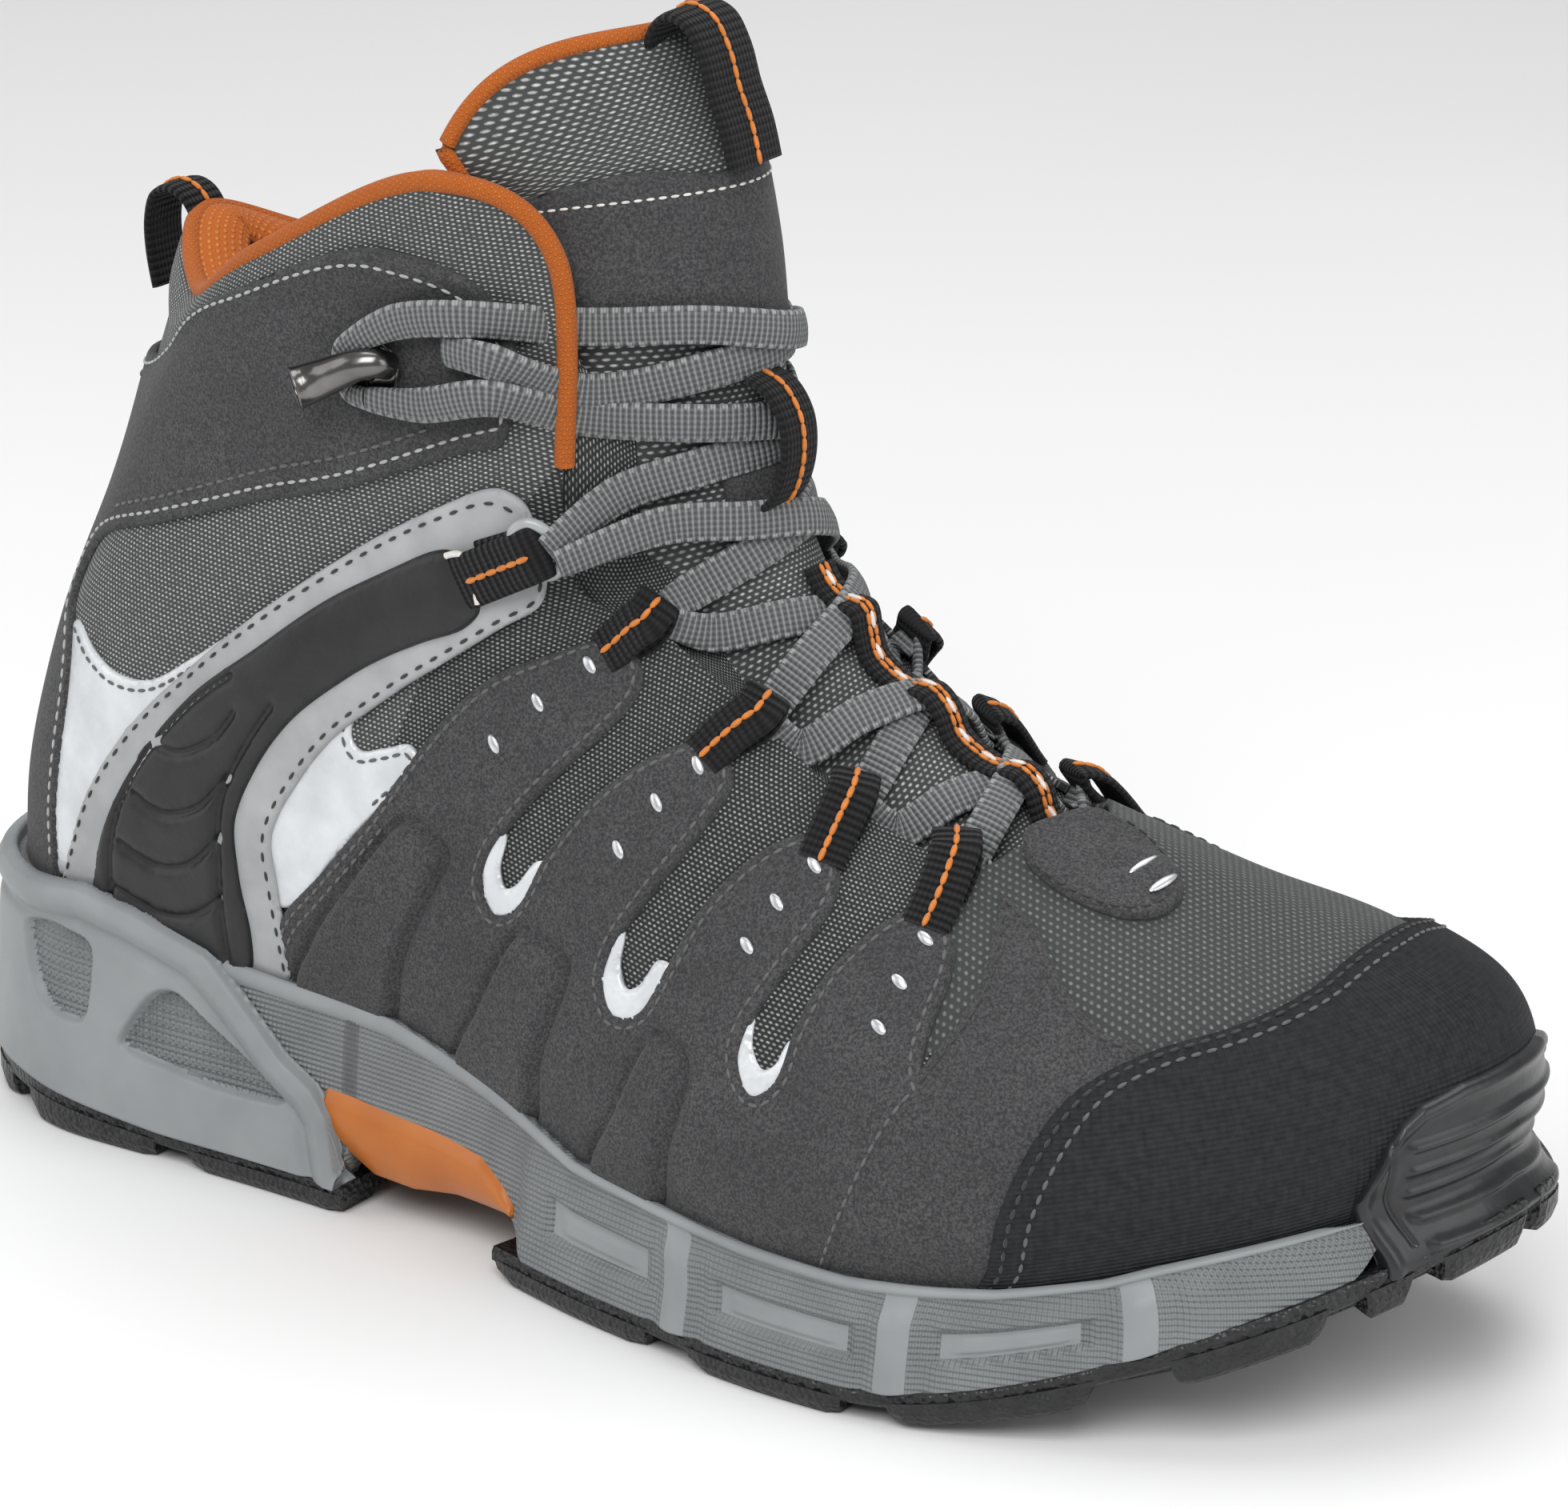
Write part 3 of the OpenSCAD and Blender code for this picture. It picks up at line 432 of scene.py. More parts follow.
# ---------------------------------------------------------------- materials
class Shader:
    """A Principled material built from a few node calls."""
    def __init__(self, name, roughness=0.6, metallic=0.0, sheen=0.0, coat=0.0, shine=0.5):
        self.mat = bpy.data.materials.new(name)
        self.mat.use_nodes = True
        self.tree = self.mat.node_tree
        self.bsdf = self.tree.nodes["Principled BSDF"]
        self.bsdf.inputs["Roughness"].default_value = roughness
        self.bsdf.inputs["Metallic"].default_value = metallic
        self.bsdf.inputs["Sheen Weight"].default_value = sheen
        self.bsdf.inputs["Sheen Roughness"].default_value = 0.5
        self.bsdf.inputs["Coat Weight"].default_value = coat
        self.bsdf.inputs["Specular IOR Level"].default_value = shine

    def node(self, kind, inputs=(), **props):
        n = self.tree.nodes.new(kind)
        for k, v in props.items():
            setattr(n, k, v)
        for k, v in dict(inputs).items():
            if hasattr(v, "is_linked"):
                self.tree.links.new(v, n.inputs[k])
            else:
                n.inputs[k].default_value = v
        return n

    def math(self, op, a, b=0.0, c=0.0):
        return self.node("ShaderNodeMath", {0: a, 1: b, 2: c}, operation=op).outputs[0]

    def uv(self):
        uv = self.node("ShaderNodeUVMap", uv_map="UVMap")
        xyz = self.node("ShaderNodeSeparateXYZ", {0: uv.outputs[0]})
        return uv.outputs[0], xyz.outputs[0], xyz.outputs[1]

    def noise(self, scale, detail=2.0, rough=0.5, vector=None):
        ins = {"Scale": scale, "Detail": detail, "Roughness": rough}
        ins["Vector"] = vector or self.node("ShaderNodeTexCoord").outputs["Object"]
        return self.node("ShaderNodeTexNoise", ins).outputs[0]

    def ramp(self, x, a, b):
        return self.node("ShaderNodeMapRange", {0: x, 1: a, 2: b, 3: 0.0, 4: 1.0}).outputs[0]

    def blend(self, factor, a, b):
        n = self.node("ShaderNodeMix", data_type="RGBA")
        for key, v in ((0, factor), (6, a), (7, b)):
            if hasattr(v, "is_linked"):
                self.tree.links.new(v, n.inputs[key])
            else:
                n.inputs[key].default_value = v if key == 0 else (*v, 1)
        return n.outputs[2]

    def color(self, c):
        if hasattr(c, "is_linked"):
            self.tree.links.new(c, self.bsdf.inputs["Base Color"])
        else:
            self.bsdf.inputs["Base Color"].default_value = (*c, 1)

    def rough(self, x):
        self.tree.links.new(x, self.bsdf.inputs["Roughness"])

    def bump(self, height, distance, strength=1.0):
        n = self.node("ShaderNodeBump", {"Height": height, "Distance": distance * MM, "Strength": strength})
        if self.bsdf.inputs["Normal"].is_linked:
            self.tree.links.new(self.bsdf.inputs["Normal"].links[0].from_socket, n.inputs["Normal"])
        self.tree.links.new(n.outputs[0], self.bsdf.inputs["Normal"])


def suede(name, dark, light, grain=900.0):
    s = Shader(name, roughness=0.95, sheen=0.08, shine=0.2)
    speck = s.ramp(s.noise(grain * 2.2, 3.0, 0.7), 0.40, 0.66)
    broad = s.ramp(s.noise(60.0, 3.0), 0.3, 0.7)
    c = s.blend(speck, dark, light)
    shade = tuple(x * 0.86 for x in dark)
    s.color(s.blend(s.math("MULTIPLY", broad, 0.35), c, shade))
    s.bump(s.noise(grain, 4.0, 0.7), 0.35, 0.6)
    s.bump(s.noise(140.0, 2.0), 0.5, 0.25)
    return s.mat


def weave(name, dark, light, pitch, contrast=1.0, roughness=0.85, slant=0.0):
    """Woven mesh: rows of light thread floats, set off half a step from row to row, over a dark ground."""
    s = Shader(name, roughness=roughness, sheen=0.08, shine=0.25)
    _, x, y = s.uv()
    rows = s.math("DIVIDE", y, pitch * 0.8)
    half = s.math("MULTIPLY", s.math("MODULO", s.math("FLOOR", s.math("ADD", rows, 4000.0)), 2.0), 0.5)
    cols = s.math("ADD", s.math("DIVIDE", s.math("ADD", x, s.math("MULTIPLY", y, slant)), pitch), half)
    fx = s.math("SUBTRACT", s.math("FRACT", s.math("ADD", cols, 4000.0)), 0.5)
    fy = s.math("SUBTRACT", s.math("FRACT", s.math("ADD", rows, 4000.0)), 0.5)
    r = s.math("ADD", s.math("MULTIPLY", s.math("MULTIPLY", fx, fx), 7.0), s.math("MULTIPLY", s.math("MULTIPLY", fy, fy), 9.0))
    dot = s.math("SUBTRACT", 1.0, s.ramp(r, 0.15, 1.0))
    vary = s.ramp(s.noise(1100.0, 2.0), 0.3, 0.66)
    amount = s.math("MULTIPLY", dot, s.math("MULTIPLY_ADD", vary, 0.65, 0.35))
    s.color(s.blend(s.math("MULTIPLY", amount, contrast), dark, light))
    s.bump(dot, 0.35, 0.8)
    s.bump(s.noise(1500.0, 2.0), 0.15, 0.4)
    return s.mat


def diamonds(s, pitch, x, y):
    k = 2 * math.pi / pitch
    a = s.math("SINE", s.math("MULTIPLY", s.math("ADD", x, y), k))
    b = s.math("SINE", s.math("MULTIPLY", s.math("SUBTRACT", x, y), k))
    return s.math("MULTIPLY", a, b)


def build_materials():
    m = {}
    m["suede"] = suede("suede_grey", (0.034, 0.034, 0.036), (0.100, 0.100, 0.102))
    m["mesh_light"] = weave("mesh_collar", (0.050, 0.054, 0.053), (0.56, 0.57, 0.56), 1.05)
    m["mesh_dark"] = weave("mesh_gusset", (0.022, 0.024, 0.024), (0.46, 0.47, 0.46), 1.0, 0.9)
    m["mesh_vamp"] = weave("mesh_vamp", (0.048, 0.051, 0.051), (0.19, 0.20, 0.198), 1.3, 1.0)
    m["lining"] = weave("lining_knit", (0.42, 0.10, 0.011), (0.66, 0.21, 0.04), 1.6)
    m["binding"] = weave("binding_knit", (0.38, 0.09, 0.010), (0.58, 0.16, 0.024), 1.0)

    s = Shader("rand_rubber", roughness=0.7, shine=0.3)
    _, x, y = s.uv()
    d = diamonds(s, 2.2, x, y)
    s.color(s.blend(s.ramp(s.noise(700.0, 2.0), 0.3, 0.75), (0.008, 0.0085, 0.010), (0.019, 0.020, 0.023)))
    s.bump(d, 0.22, 0.7)
    s.bump(s.noise(900.0, 3.0), 0.2, 0.4)
    m["rand"] = s.mat

    s = Shader("midsole_foam", roughness=0.62)
    _, x, y = s.uv()
    d = diamonds(s, 2.0, x, y)
    s.color(s.blend(s.ramp(s.noise(90.0, 3.0), 0.3, 0.7), (0.205, 0.218, 0.224), (0.25, 0.265, 0.27)))
    s.bump(d, 0.4, 1.0)
    m["midsole"] = s.mat

    s = Shader("frame_plastic", roughness=0.5)
    s.color(s.blend(s.ramp(s.noise(60.0, 3.0), 0.3, 0.7), (0.21, 0.225, 0.232), (0.265, 0.282, 0.29)))
    s.bump(s.noise(700.0, 2.0), 0.12, 0.35)
    m["frame"] = s.mat

    s = Shader("frame_window", roughness=0.6)
    _, x, y = s.uv()
    d = diamonds(s, 3.0, x, y)
    s.color(s.blend(s.ramp(s.noise(90.0, 3.0), 0.3, 0.7), (0.15, 0.162, 0.168), (0.20, 0.214, 0.222)))
    s.bump(d, 0.45, 0.9)
    m["frame_pad"] = s.mat

    s = Shader("outsole_rubber", roughness=0.38)
    v = s.node("ShaderNodeTexVoronoi", {"Scale": 900.0, "Vector": s.node("ShaderNodeTexCoord").outputs["Object"]})
    s.color(s.blend(s.ramp(s.noise(300.0, 3.0), 0.35, 0.7), (0.006, 0.0063, 0.007), (0.014, 0.0145, 0.016)))
    s.bump(v.outputs[0], 0.6, 0.9)
    m["outsole"] = s.mat

    s = Shader("bumper_rubber", roughness=0.33)
    s.color(s.blend(s.ramp(s.noise(300.0, 3.0), 0.35, 0.7), (0.012, 0.0125, 0.014), (0.02, 0.021, 0.023)))
    s.bump(s.noise(800.0, 2.0), 0.12, 0.4)
    m["bumper"] = s.mat

    s = Shader("arch_plastic", roughness=0.38, coat=0.1)
    s.color(s.blend(s.ramp(s.noise(80.0, 2.0), 0.3, 0.7), (0.40, 0.105, 0.006), (0.47, 0.135, 0.010)))
    s.bump(s.noise(900.0, 2.0), 0.1, 0.3)
    m["arch"] = s.mat

    s = Shader("strap_plastic", roughness=0.45)
    s.color(s.blend(s.ramp(s.noise(200.0, 3.0), 0.3, 0.7), (0.005, 0.005, 0.006), (0.011, 0.011, 0.012)))
    s.bump(s.noise(1100.0, 3.0), 0.15, 0.4)
    m["strap"] = s.mat

    s = Shader("trim_leather", roughness=0.55)
    s.color(s.blend(s.ramp(s.noise(120.0, 3.0), 0.3, 0.7), (0.30, 0.31, 0.315), (0.38, 0.39, 0.395)))
    s.bump(s.noise(1000.0, 3.0), 0.15, 0.45)
    m["trim"] = s.mat

    s = Shader("silver_leather", roughness=0.38, metallic=0.25)
    v = s.node("ShaderNodeTexVoronoi", {"Scale": 700.0, "Vector": s.node("ShaderNodeTexCoord").outputs["Object"]})
    s.color(s.blend(s.ramp(s.noise(120.0, 3.0), 0.3, 0.7), (0.56, 0.58, 0.60), (0.70, 0.72, 0.74)))
    s.bump(v.outputs[0], 0.2, 0.4)
    m["silver"] = s.mat

    s = Shader("webbing_black", roughness=0.8, sheen=0.05, shine=0.25)
    _, x, y = s.uv()
    rib = s.math("SINE", s.math("MULTIPLY", y, 2 * math.pi / 1.3))
    warp = s.math("SINE", s.math("MULTIPLY", x, 2 * math.pi / 0.9))
    h = s.math("MULTIPLY_ADD", warp, 0.35, rib)
    s.color(s.blend(s.ramp(h, -1.0, 1.3), (0.0025, 0.0025, 0.003), (0.015, 0.015, 0.017)))
    s.bump(h, 0.35, 0.9)
    m["webbing"] = s.mat

    s = Shader("lace_woven", roughness=0.8, sheen=0.06, shine=0.25)
    _, x, y = s.uv()
    rib = s.math("SINE", s.math("MULTIPLY", y, 2 * math.pi / 1.0))
    strand = s.math("SINE", s.math("MULTIPLY", x, 2 * math.pi / 0.9))
    h = s.math("MULTIPLY_ADD", strand, 0.35, rib)
    c = s.blend(s.ramp(h, -1.2, 1.2), (0.070, 0.074, 0.076), (0.26, 0.267, 0.27))
    edge = s.ramp(s.math("ABSOLUTE", s.math("SUBTRACT", x, LACE_WIDE / 2)), LACE_WIDE * 0.36, LACE_WIDE * 0.42)
    dots = s.ramp(s.math("SINE", s.math("MULTIPLY", y, 2 * math.pi / 2.0)), -0.1, 0.5)
    s.color(s.blend(s.math("MULTIPLY", edge, dots), c, (0.36, 0.37, 0.372)))
    s.bump(h, 0.25, 0.9)
    m["lace"] = s.mat

    for key, c in (("thread_dark", (0.10, 0.10, 0.10)), ("thread_light", (0.42, 0.43, 0.43)),
                   ("thread_orange", (0.66, 0.19, 0.012)), ("thread_black", (0.02, 0.02, 0.02)),
                   ("thread_white", (0.75, 0.72, 0.68))):
        s = Shader(key, roughness=0.6, sheen=0.2)
        s.color(s.blend(s.ramp(s.noise(800.0, 2.0), 0.3, 0.7), tuple(x * 0.75 for x in c), c))
        s.bump(s.noise(3000.0, 1.0), 0.08, 0.5)
        m[key] = s.mat

    s = Shader("hook_metal", roughness=0.22, metallic=1.0)
    s.color(s.blend(s.ramp(s.noise(150.0, 3.0), 0.3, 0.7), (0.13, 0.125, 0.12), (0.24, 0.235, 0.23)))
    s.bump(s.noise(900.0, 2.0), 0.05, 0.3)
    m["hook"] = s.mat

    # Light, shiny material of the painted highlights on the quarter's fingers and on the tab's boss.
    s = Shader("painted_glint", roughness=0.3, metallic=0.7)
    s.color(s.blend(s.ramp(s.noise(600.0, 2.0), 0.3, 0.7), (0.50, 0.51, 0.53), (0.70, 0.71, 0.72)))
    m["shine"] = s.mat

    s = Shader("ring_plastic", roughness=0.3, coat=0.3)
    s.color(s.blend(s.ramp(s.noise(200.0, 2.0), 0.3, 0.7), (0.30, 0.315, 0.32), (0.40, 0.415, 0.42)))
    s.bump(s.noise(900.0, 2.0), 0.05, 0.3)
    m["ring"] = s.mat
    return m


MAT = build_materials()


# ---------------------------------------------------------------- stitches, collected per body and thread
THREADS = {}


def capsule():
    """A small rounded stitch along x, one long and one thick, from 7 rings of 6."""
    rings = []
    for t in np.linspace(-1, 1, 6):
        r = math.sqrt(max(1 - abs(t)**3, 0.06))
        rings.append([[t / 2, r / 2 * math.cos(a), r / 2 * math.sin(a)] for a in np.linspace(0, 2 * math.pi, 6, endpoint=False)])
    return np.array(rings)


CAPSULE = capsule()


def add_stitches(points, normals, thread, body, gap=2.5, length=1.75, thick=0.62, closed=False):
    """Stitches in a row along a dense line of points."""
    q = np.vstack([points, points[:1]]) if closed else points
    nn = np.vstack([normals, normals[:1]]) if closed else normals
    d = np.r_[0, np.cumsum(np.linalg.norm(np.diff(q, axis=0), axis=1))]
    count = max(int(d[-1] / gap), 1)
    mids = (np.arange(count) + 0.5) * d[-1] / count
    at = lambda t: np.stack([np.interp(t, d, q[:, k]) for k in range(3)], -1)
    p, tan = at(mids), at(np.minimum(mids + 0.5, d[-1])) - at(np.maximum(mids - 0.5, 0))
    tan /= np.maximum(np.linalg.norm(tan, axis=1, keepdims=True), 1e-9)
    n = np.stack([np.interp(mids, d, nn[:, k]) for k in range(3)], -1)
    side = np.cross(n, tan)
    side /= np.maximum(np.linalg.norm(side, axis=1, keepdims=True), 1e-9)
    up = np.cross(tan, side)
    c = CAPSULE
    v = (p[:, None, None] + c[None, :, :, :1] * length * tan[:, None, None]
         + c[None, :, :, 1:2] * thick * side[:, None, None] + c[None, :, :, 2:] * thick * 0.8 * up[:, None, None])
    THREADS.setdefault((body, thread), []).append(v)


def stitch_uv(path, thread, body="boot", off=SUEDE + 0.1, closed=False, medial=False, ground_skin=UPPER_SKIN, **kw):
    line = resample(spline(path, 8, closed=closed) if len(path) > 2 else np.array(path, float), 0.8, closed=closed,
                    metric=ground_skin.metric)
    u = TURN - line[:, 0] if medial else line[:, 0]
    p = ground_skin.point(u, line[:, 1], np.full(len(u), off))
    q = ground_skin.point(u, line[:, 1], np.full(len(u), off + 1.0))
    add_stitches(p, q - p, thread, body, closed=closed, **kw)


def inset_path(points, d, ground_skin=UPPER_SKIN, closed=True, smooth=True):
    """The outline moved d millimetres inwards, as a dense path."""
    m = ground_skin.metric
    rim = resample(spline(points, 8) if smooth else np.array(points, float), 1.0, metric=m) * m
    area = np.cross(rim, np.roll(rim, -1, axis=0)).sum()
    t = np.roll(rim, -2, axis=0) - np.roll(rim, 2, axis=0)
    n = np.stack([-t[:, 1], t[:, 0]], -1) * np.sign(area)
    n /= np.maximum(np.linalg.norm(n, axis=1, keepdims=True), 1e-9)
    ring = rim + n * d
    return ring[nearest(ring, rim) > d * 0.9] / m


def hem(points, thread, body="boot", d=1.8, off=SUEDE + 0.1, medial=False, ground_skin=UPPER_SKIN, keep=None, gap=2.5):
    """Stitches just inside an outline; keep says which of its points carry them."""
    path = inset_path(points, d, ground_skin)
    if keep is not None:
        path = path[keep(path[:, 0], path[:, 1])]
    cuts = np.where(np.linalg.norm(np.diff(path * ground_skin.metric, axis=0), axis=1) > 6)[0] + 1
    for part in np.split(path, cuts):
        if len(part) < 4:
            continue
        u = TURN - part[:, 0] if medial else part[:, 0]
        p = ground_skin.point(u, part[:, 1], np.full(len(u), off))
        q = ground_skin.point(u, part[:, 1], np.full(len(u), off + 1.0))
        add_stitches(p, q - p, thread, body, gap=gap)


def build_threads():
    for (body, thread), blocks in sorted(THREADS.items()):
        v = np.concatenate(blocks)
        n, rings, sides = v.shape[:3]
        one = grid_faces(rings, sides, wrap_m=True)
        caps = [list(range(sides)), [(rings - 1) * sides + k for k in range(sides)][::-1]]
        size = rings * sides
        faces = [tuple(f + k * size) for k in range(n) for f in one]
        faces += [tuple(i + k * size for i in c) for k in range(n) for c in caps]
        make(f"stitches_{body}_{thread}", v.reshape(-1, 3), faces, MAT[thread], body)


# ---------------------------------------------------------------- woven mesh, linings and tongue
def sheet(name, u0, u1, v0, v1, nu, nv, outer, inner, mat, body, planar=False, replaces=()):
    u, v = np.meshgrid(np.linspace(u0, u1, nu), np.linspace(v0, v1, nv), indexing="ij")
    top, low = skin(u, v, outer(u, v)), skin(u, v, inner(u, v))
    verts, faces = closed_sheet(top, low)
    if planar:
        uv = top[..., :2]
    else:
        up = np.cumsum(np.r_["1", np.zeros((nu, 1)), np.linalg.norm(np.diff(top, axis=1), axis=2)], axis=1)
        uv = np.stack([u * 27.0, up], -1)
    uv = uv.reshape(-1, 2)
    return make(name, verts, faces, mat, body, np.concatenate([uv, uv]), replaces)


def level(x):
    return lambda u, v: np.full(np.shape(u), float(x))


def build_mesh_shells():
    soft = lambda u, v: 0.35 * np.sin(u * 5.1 + v * 2.0) * bump(v, 0.6, 4.6, 0.5) * bump(u % TURN, 3, 21, 1)
    for side, u0, u1 in (("lateral", 3.2, 12.0), ("medial", 12.0, TURN - 3.2)):
        nu, nv = 260, 110
        obj = sheet(f"quarter_mesh_{side}", u0, u1, -0.15, 5.0, nu, nv, soft, level(-1.2), MAT["mesh_light"],
                    "flex", replaces=(f"quarter_mesh_{side}",))
        obj.data.materials.append(MAT["mesh_dark"])
        column = np.linspace(u0, u1, nu)
        for poly in obj.data.polygons:
            if half(column[poly.vertices[0] % (nu * nv) // nv]) < 7.35:
                poly.material_index = 1
    sheet("vamp_mesh", -3.3, 3.3, -0.2, 5.0, 200, 120, level(0.15), level(-1.2), MAT["mesh_vamp"], "flex",
          planar=True, replaces=("vamp_mesh",))


COLLAR_FROM, COLLAR_TO = 7.35, TURN - 7.35


def collar_depth(u):
    """Width of the padded collar across its top."""
    return mix(2.6, 10.0, ease(half(u), 8.5, 10.0))


def collar_frame(u):
    """The top line, the way out from it and the way up along the upper."""
    full = np.full(np.shape(u), 5.0)
    edge, low = skin(u, full), skin(u, full - 0.1)
    up = edge - low
    up /= np.linalg.norm(up, axis=-1, keepdims=True)
    return edge, normal_of(upper_raw, u, full - 0.03), up


def build_collar():
    """The rolled orange binding along the top line, and the knitted lining over the foam and down the inside."""
    u = np.linspace(COLLAR_FROM, COLLAR_TO, 300)
    edge, out, up = collar_frame(u)
    line = resample(edge - out * 0.7 + up * 0.35, 1.1, closed=False)
    tube("collar_binding", line, 1.75, MAT["binding"], "boot", sides=14, replaces=("collar_binding",))
    first, nu, over, down = 4.1, 260, 22, 80
    u = np.linspace(first, TURN - first, nu)
    top_v = mix(3.9, 4.99, ease(half(u), 7.0, 7.7))
    depth = mix(1.3, np.maximum(collar_depth(u), 3.2), ease(half(u), 7.4, 8.3))
    edge = skin(u, top_v, -1.0)
    _, out, up = collar_frame(u)
    rows = []
    for a in np.linspace(0, math.pi, over):
        swell = 0.22 * depth * math.sin(a) * ease(half(u), 7.6, 8.6)
        rows.append(edge - out * ((depth - 1.0) * (1 - math.cos(a)) / 2)[:, None] + up * swell[:, None])
    for v in np.linspace(0, 1, down)[1:]:
        vv = mix(top_v, -0.1, v)
        rows.append(skin(u, vv, -mix(np.where(half(u) < 7.6, 2.6, 4.2), depth, ease(vv, 3.0, 4.2)) - relief(u, vv)))
    outer = np.stack(rows, axis=1)
    n = normal_of_grid(outer)
    verts, faces = closed_sheet(outer, outer + n * 0.9)
    arc = np.cumsum(np.concatenate([np.zeros((nu, 1)), np.linalg.norm(np.diff(outer, axis=1), axis=2)], axis=1), axis=1)
    uv = np.stack([np.broadcast_to(u[:, None] * 27, arc.shape), arc], -1).reshape(-1, 2)
    make("lining_rear", verts, faces[:, ::-1], MAT["lining"], "boot", np.concatenate([uv, uv]),
         ("lining_rear", "collar_padding"))
    sheet("lining_toe", -4.0, 4.0, -0.1, 4.8, 90, 60, level(-3.2), level(-4.2), MAT["lining"], "flex",
          replaces=("lining_toe",))


def normal_of_grid(g):
    """Normals of a grid of points, towards the outside of the boot's wall."""
    n = np.cross(np.gradient(g, axis=1), np.gradient(g, axis=0))
    return n / np.maximum(np.linalg.norm(n, axis=-1, keepdims=True), 1e-9)


def tongue_end(t):
    """How far up the tongue reaches across its width: its corners are rounded off."""
    return 9.5 - 0.6 * np.asarray(t, float)**4


def tongue_depth(a, t, full):
    """Thickness of the padded tongue, falling to nothing round its edge."""
    edge = np.clip((1 - np.abs(t)) / 0.16, 0, 1)
    end = np.clip((1 - a) / 0.045, 0, 1)
    return full * np.sqrt(np.clip(1 - (1 - edge)**2, 0.02, 1)) * np.sqrt(np.clip(1 - (1 - end)**2, 0.02, 1))


def build_tongue():
    a, t = np.meshgrid(np.linspace(0, 1, 190), np.linspace(-1, 1, 64), indexing="ij")
    s = mix(0.05, tongue_end(t), a)
    full = mix(3.2, 5.2, ease(s, 4.5, 6.5))
    puff = 0.3 * np.sin(s * 2.6) * ease(s, 4, 5) + 0.2 * np.sin(t * 7 + s)
    outer = tongue_skin(s, t, tongue_depth(a, t, full) * 0.5 - full * 0.5 + puff)
    middle = tongue_skin(s, t, -full * 0.5 - 0.05 + puff)
    inner = tongue_skin(s, t, -tongue_depth(a, t, full) * 0.55 - full * 0.5 + puff)
    uv = np.stack([t * 24.0, s * 17.0], -1).reshape(-1, 2)
    uv2 = np.concatenate([uv, uv])
    verts, faces = closed_sheet(outer, middle)
    make("tongue", verts, faces[:, ::-1], MAT["mesh_light"], "tilt", uv2, ("tongue_lower", "tongue_upper"))
    verts, faces = closed_sheet(middle, inner)
    make("tongue_lining", verts, faces[:, ::-1], MAT["lining"], "tilt", uv2)
    sides = np.linspace(3.2, float(tongue_end(1.0)) - 0.15, 40)
    across = np.linspace(-1, 1, 90)
    line = np.concatenate([np.stack([sides, np.full(40, -1.0)], -1), np.stack([tongue_end(across), across], -1),
                           np.stack([sides[::-1], np.full(40, 1.0)], -1)])
    centre_line = tongue_skin(line[:, 0], line[:, 1], np.full(len(line), -2.5))
    tube("tongue_binding", resample(centre_line, 1.2, closed=False), 1.55, MAT["binding"], "tilt")


def build_gussets():
    """The woven fold that joins the tongue's sides to the quarters, below the collar."""
    for side, sign in (("lateral", -1), ("medial", 1)):
        u, a = np.meshgrid(np.linspace(3.2, 7.9, 120), np.linspace(0, 1, 14), indexing="ij")
        s = np.interp(u, [3.08, 4.02, 4.97, 6.1, 7.1, 8.0], [0.5, 1.65, 2.7, 3.95, 4.85, 5.5])
        edge = skin(TURN - u if sign > 0 else u, np.full(u.shape, 4.8), -1.7)
        tongue = tongue_skin(s, sign * np.full(u.shape, 0.72), -1.2)
        top = mix(edge, tongue, a[..., None])
        top[..., 2] -= 1.5 * np.sin(np.pi * a)
        under = top - normal_of_grid(top) * (0.9 * sign)
        verts, faces = closed_sheet(top, under)
        uv = np.stack([u * 27, a * 24], -1).reshape(-1, 2)
        make(f"tongue_gusset_{side}", verts, faces[:, ::-1] if sign < 0 else faces, MAT["mesh_dark"], "flex",
             np.concatenate([uv, uv]))


def frames_along(p, hint):
    """Tangent, side and up at each point of a line; hint is about which way is up."""
    t = np.gradient(p, axis=0)
    t /= np.maximum(np.linalg.norm(t, axis=1, keepdims=True), 1e-9)
    side = np.cross(t, hint)
    side /= np.maximum(np.linalg.norm(side, axis=1, keepdims=True), 1e-9)
    return t, side, np.cross(side, t)


def tube(name, p, radius, mat, body, sides=12, replaces=(), hint=(0.3, 0.2, 1.0)):
    hint = np.broadcast_to(np.array(hint, float), p.shape)
    t, side, up = frames_along(p, hint)
    r = np.broadcast_to(np.asarray(radius, float), (len(p),))
    a = np.linspace(0, 2 * math.pi, sides, endpoint=False)
    ring = p[:, None] + r[:, None, None] * (np.cos(a)[None, :, None] * side[:, None] + np.sin(a)[None, :, None] * up[:, None])
    faces = [tuple(f) for f in grid_faces(len(p), sides, wrap_m=True)]
    faces += [tuple(range(sides))[::-1], tuple((len(p) - 1) * sides + k for k in range(sides))]
    d = np.r_[0, np.cumsum(np.linalg.norm(np.diff(p, axis=0), axis=1))]
    uv = np.stack(np.broadcast_arrays(a[None] * r[:, None], d[:, None]), -1).reshape(-1, 2)
    return make(name, ring.reshape(-1, 3), faces, mat, body, uv, replaces)


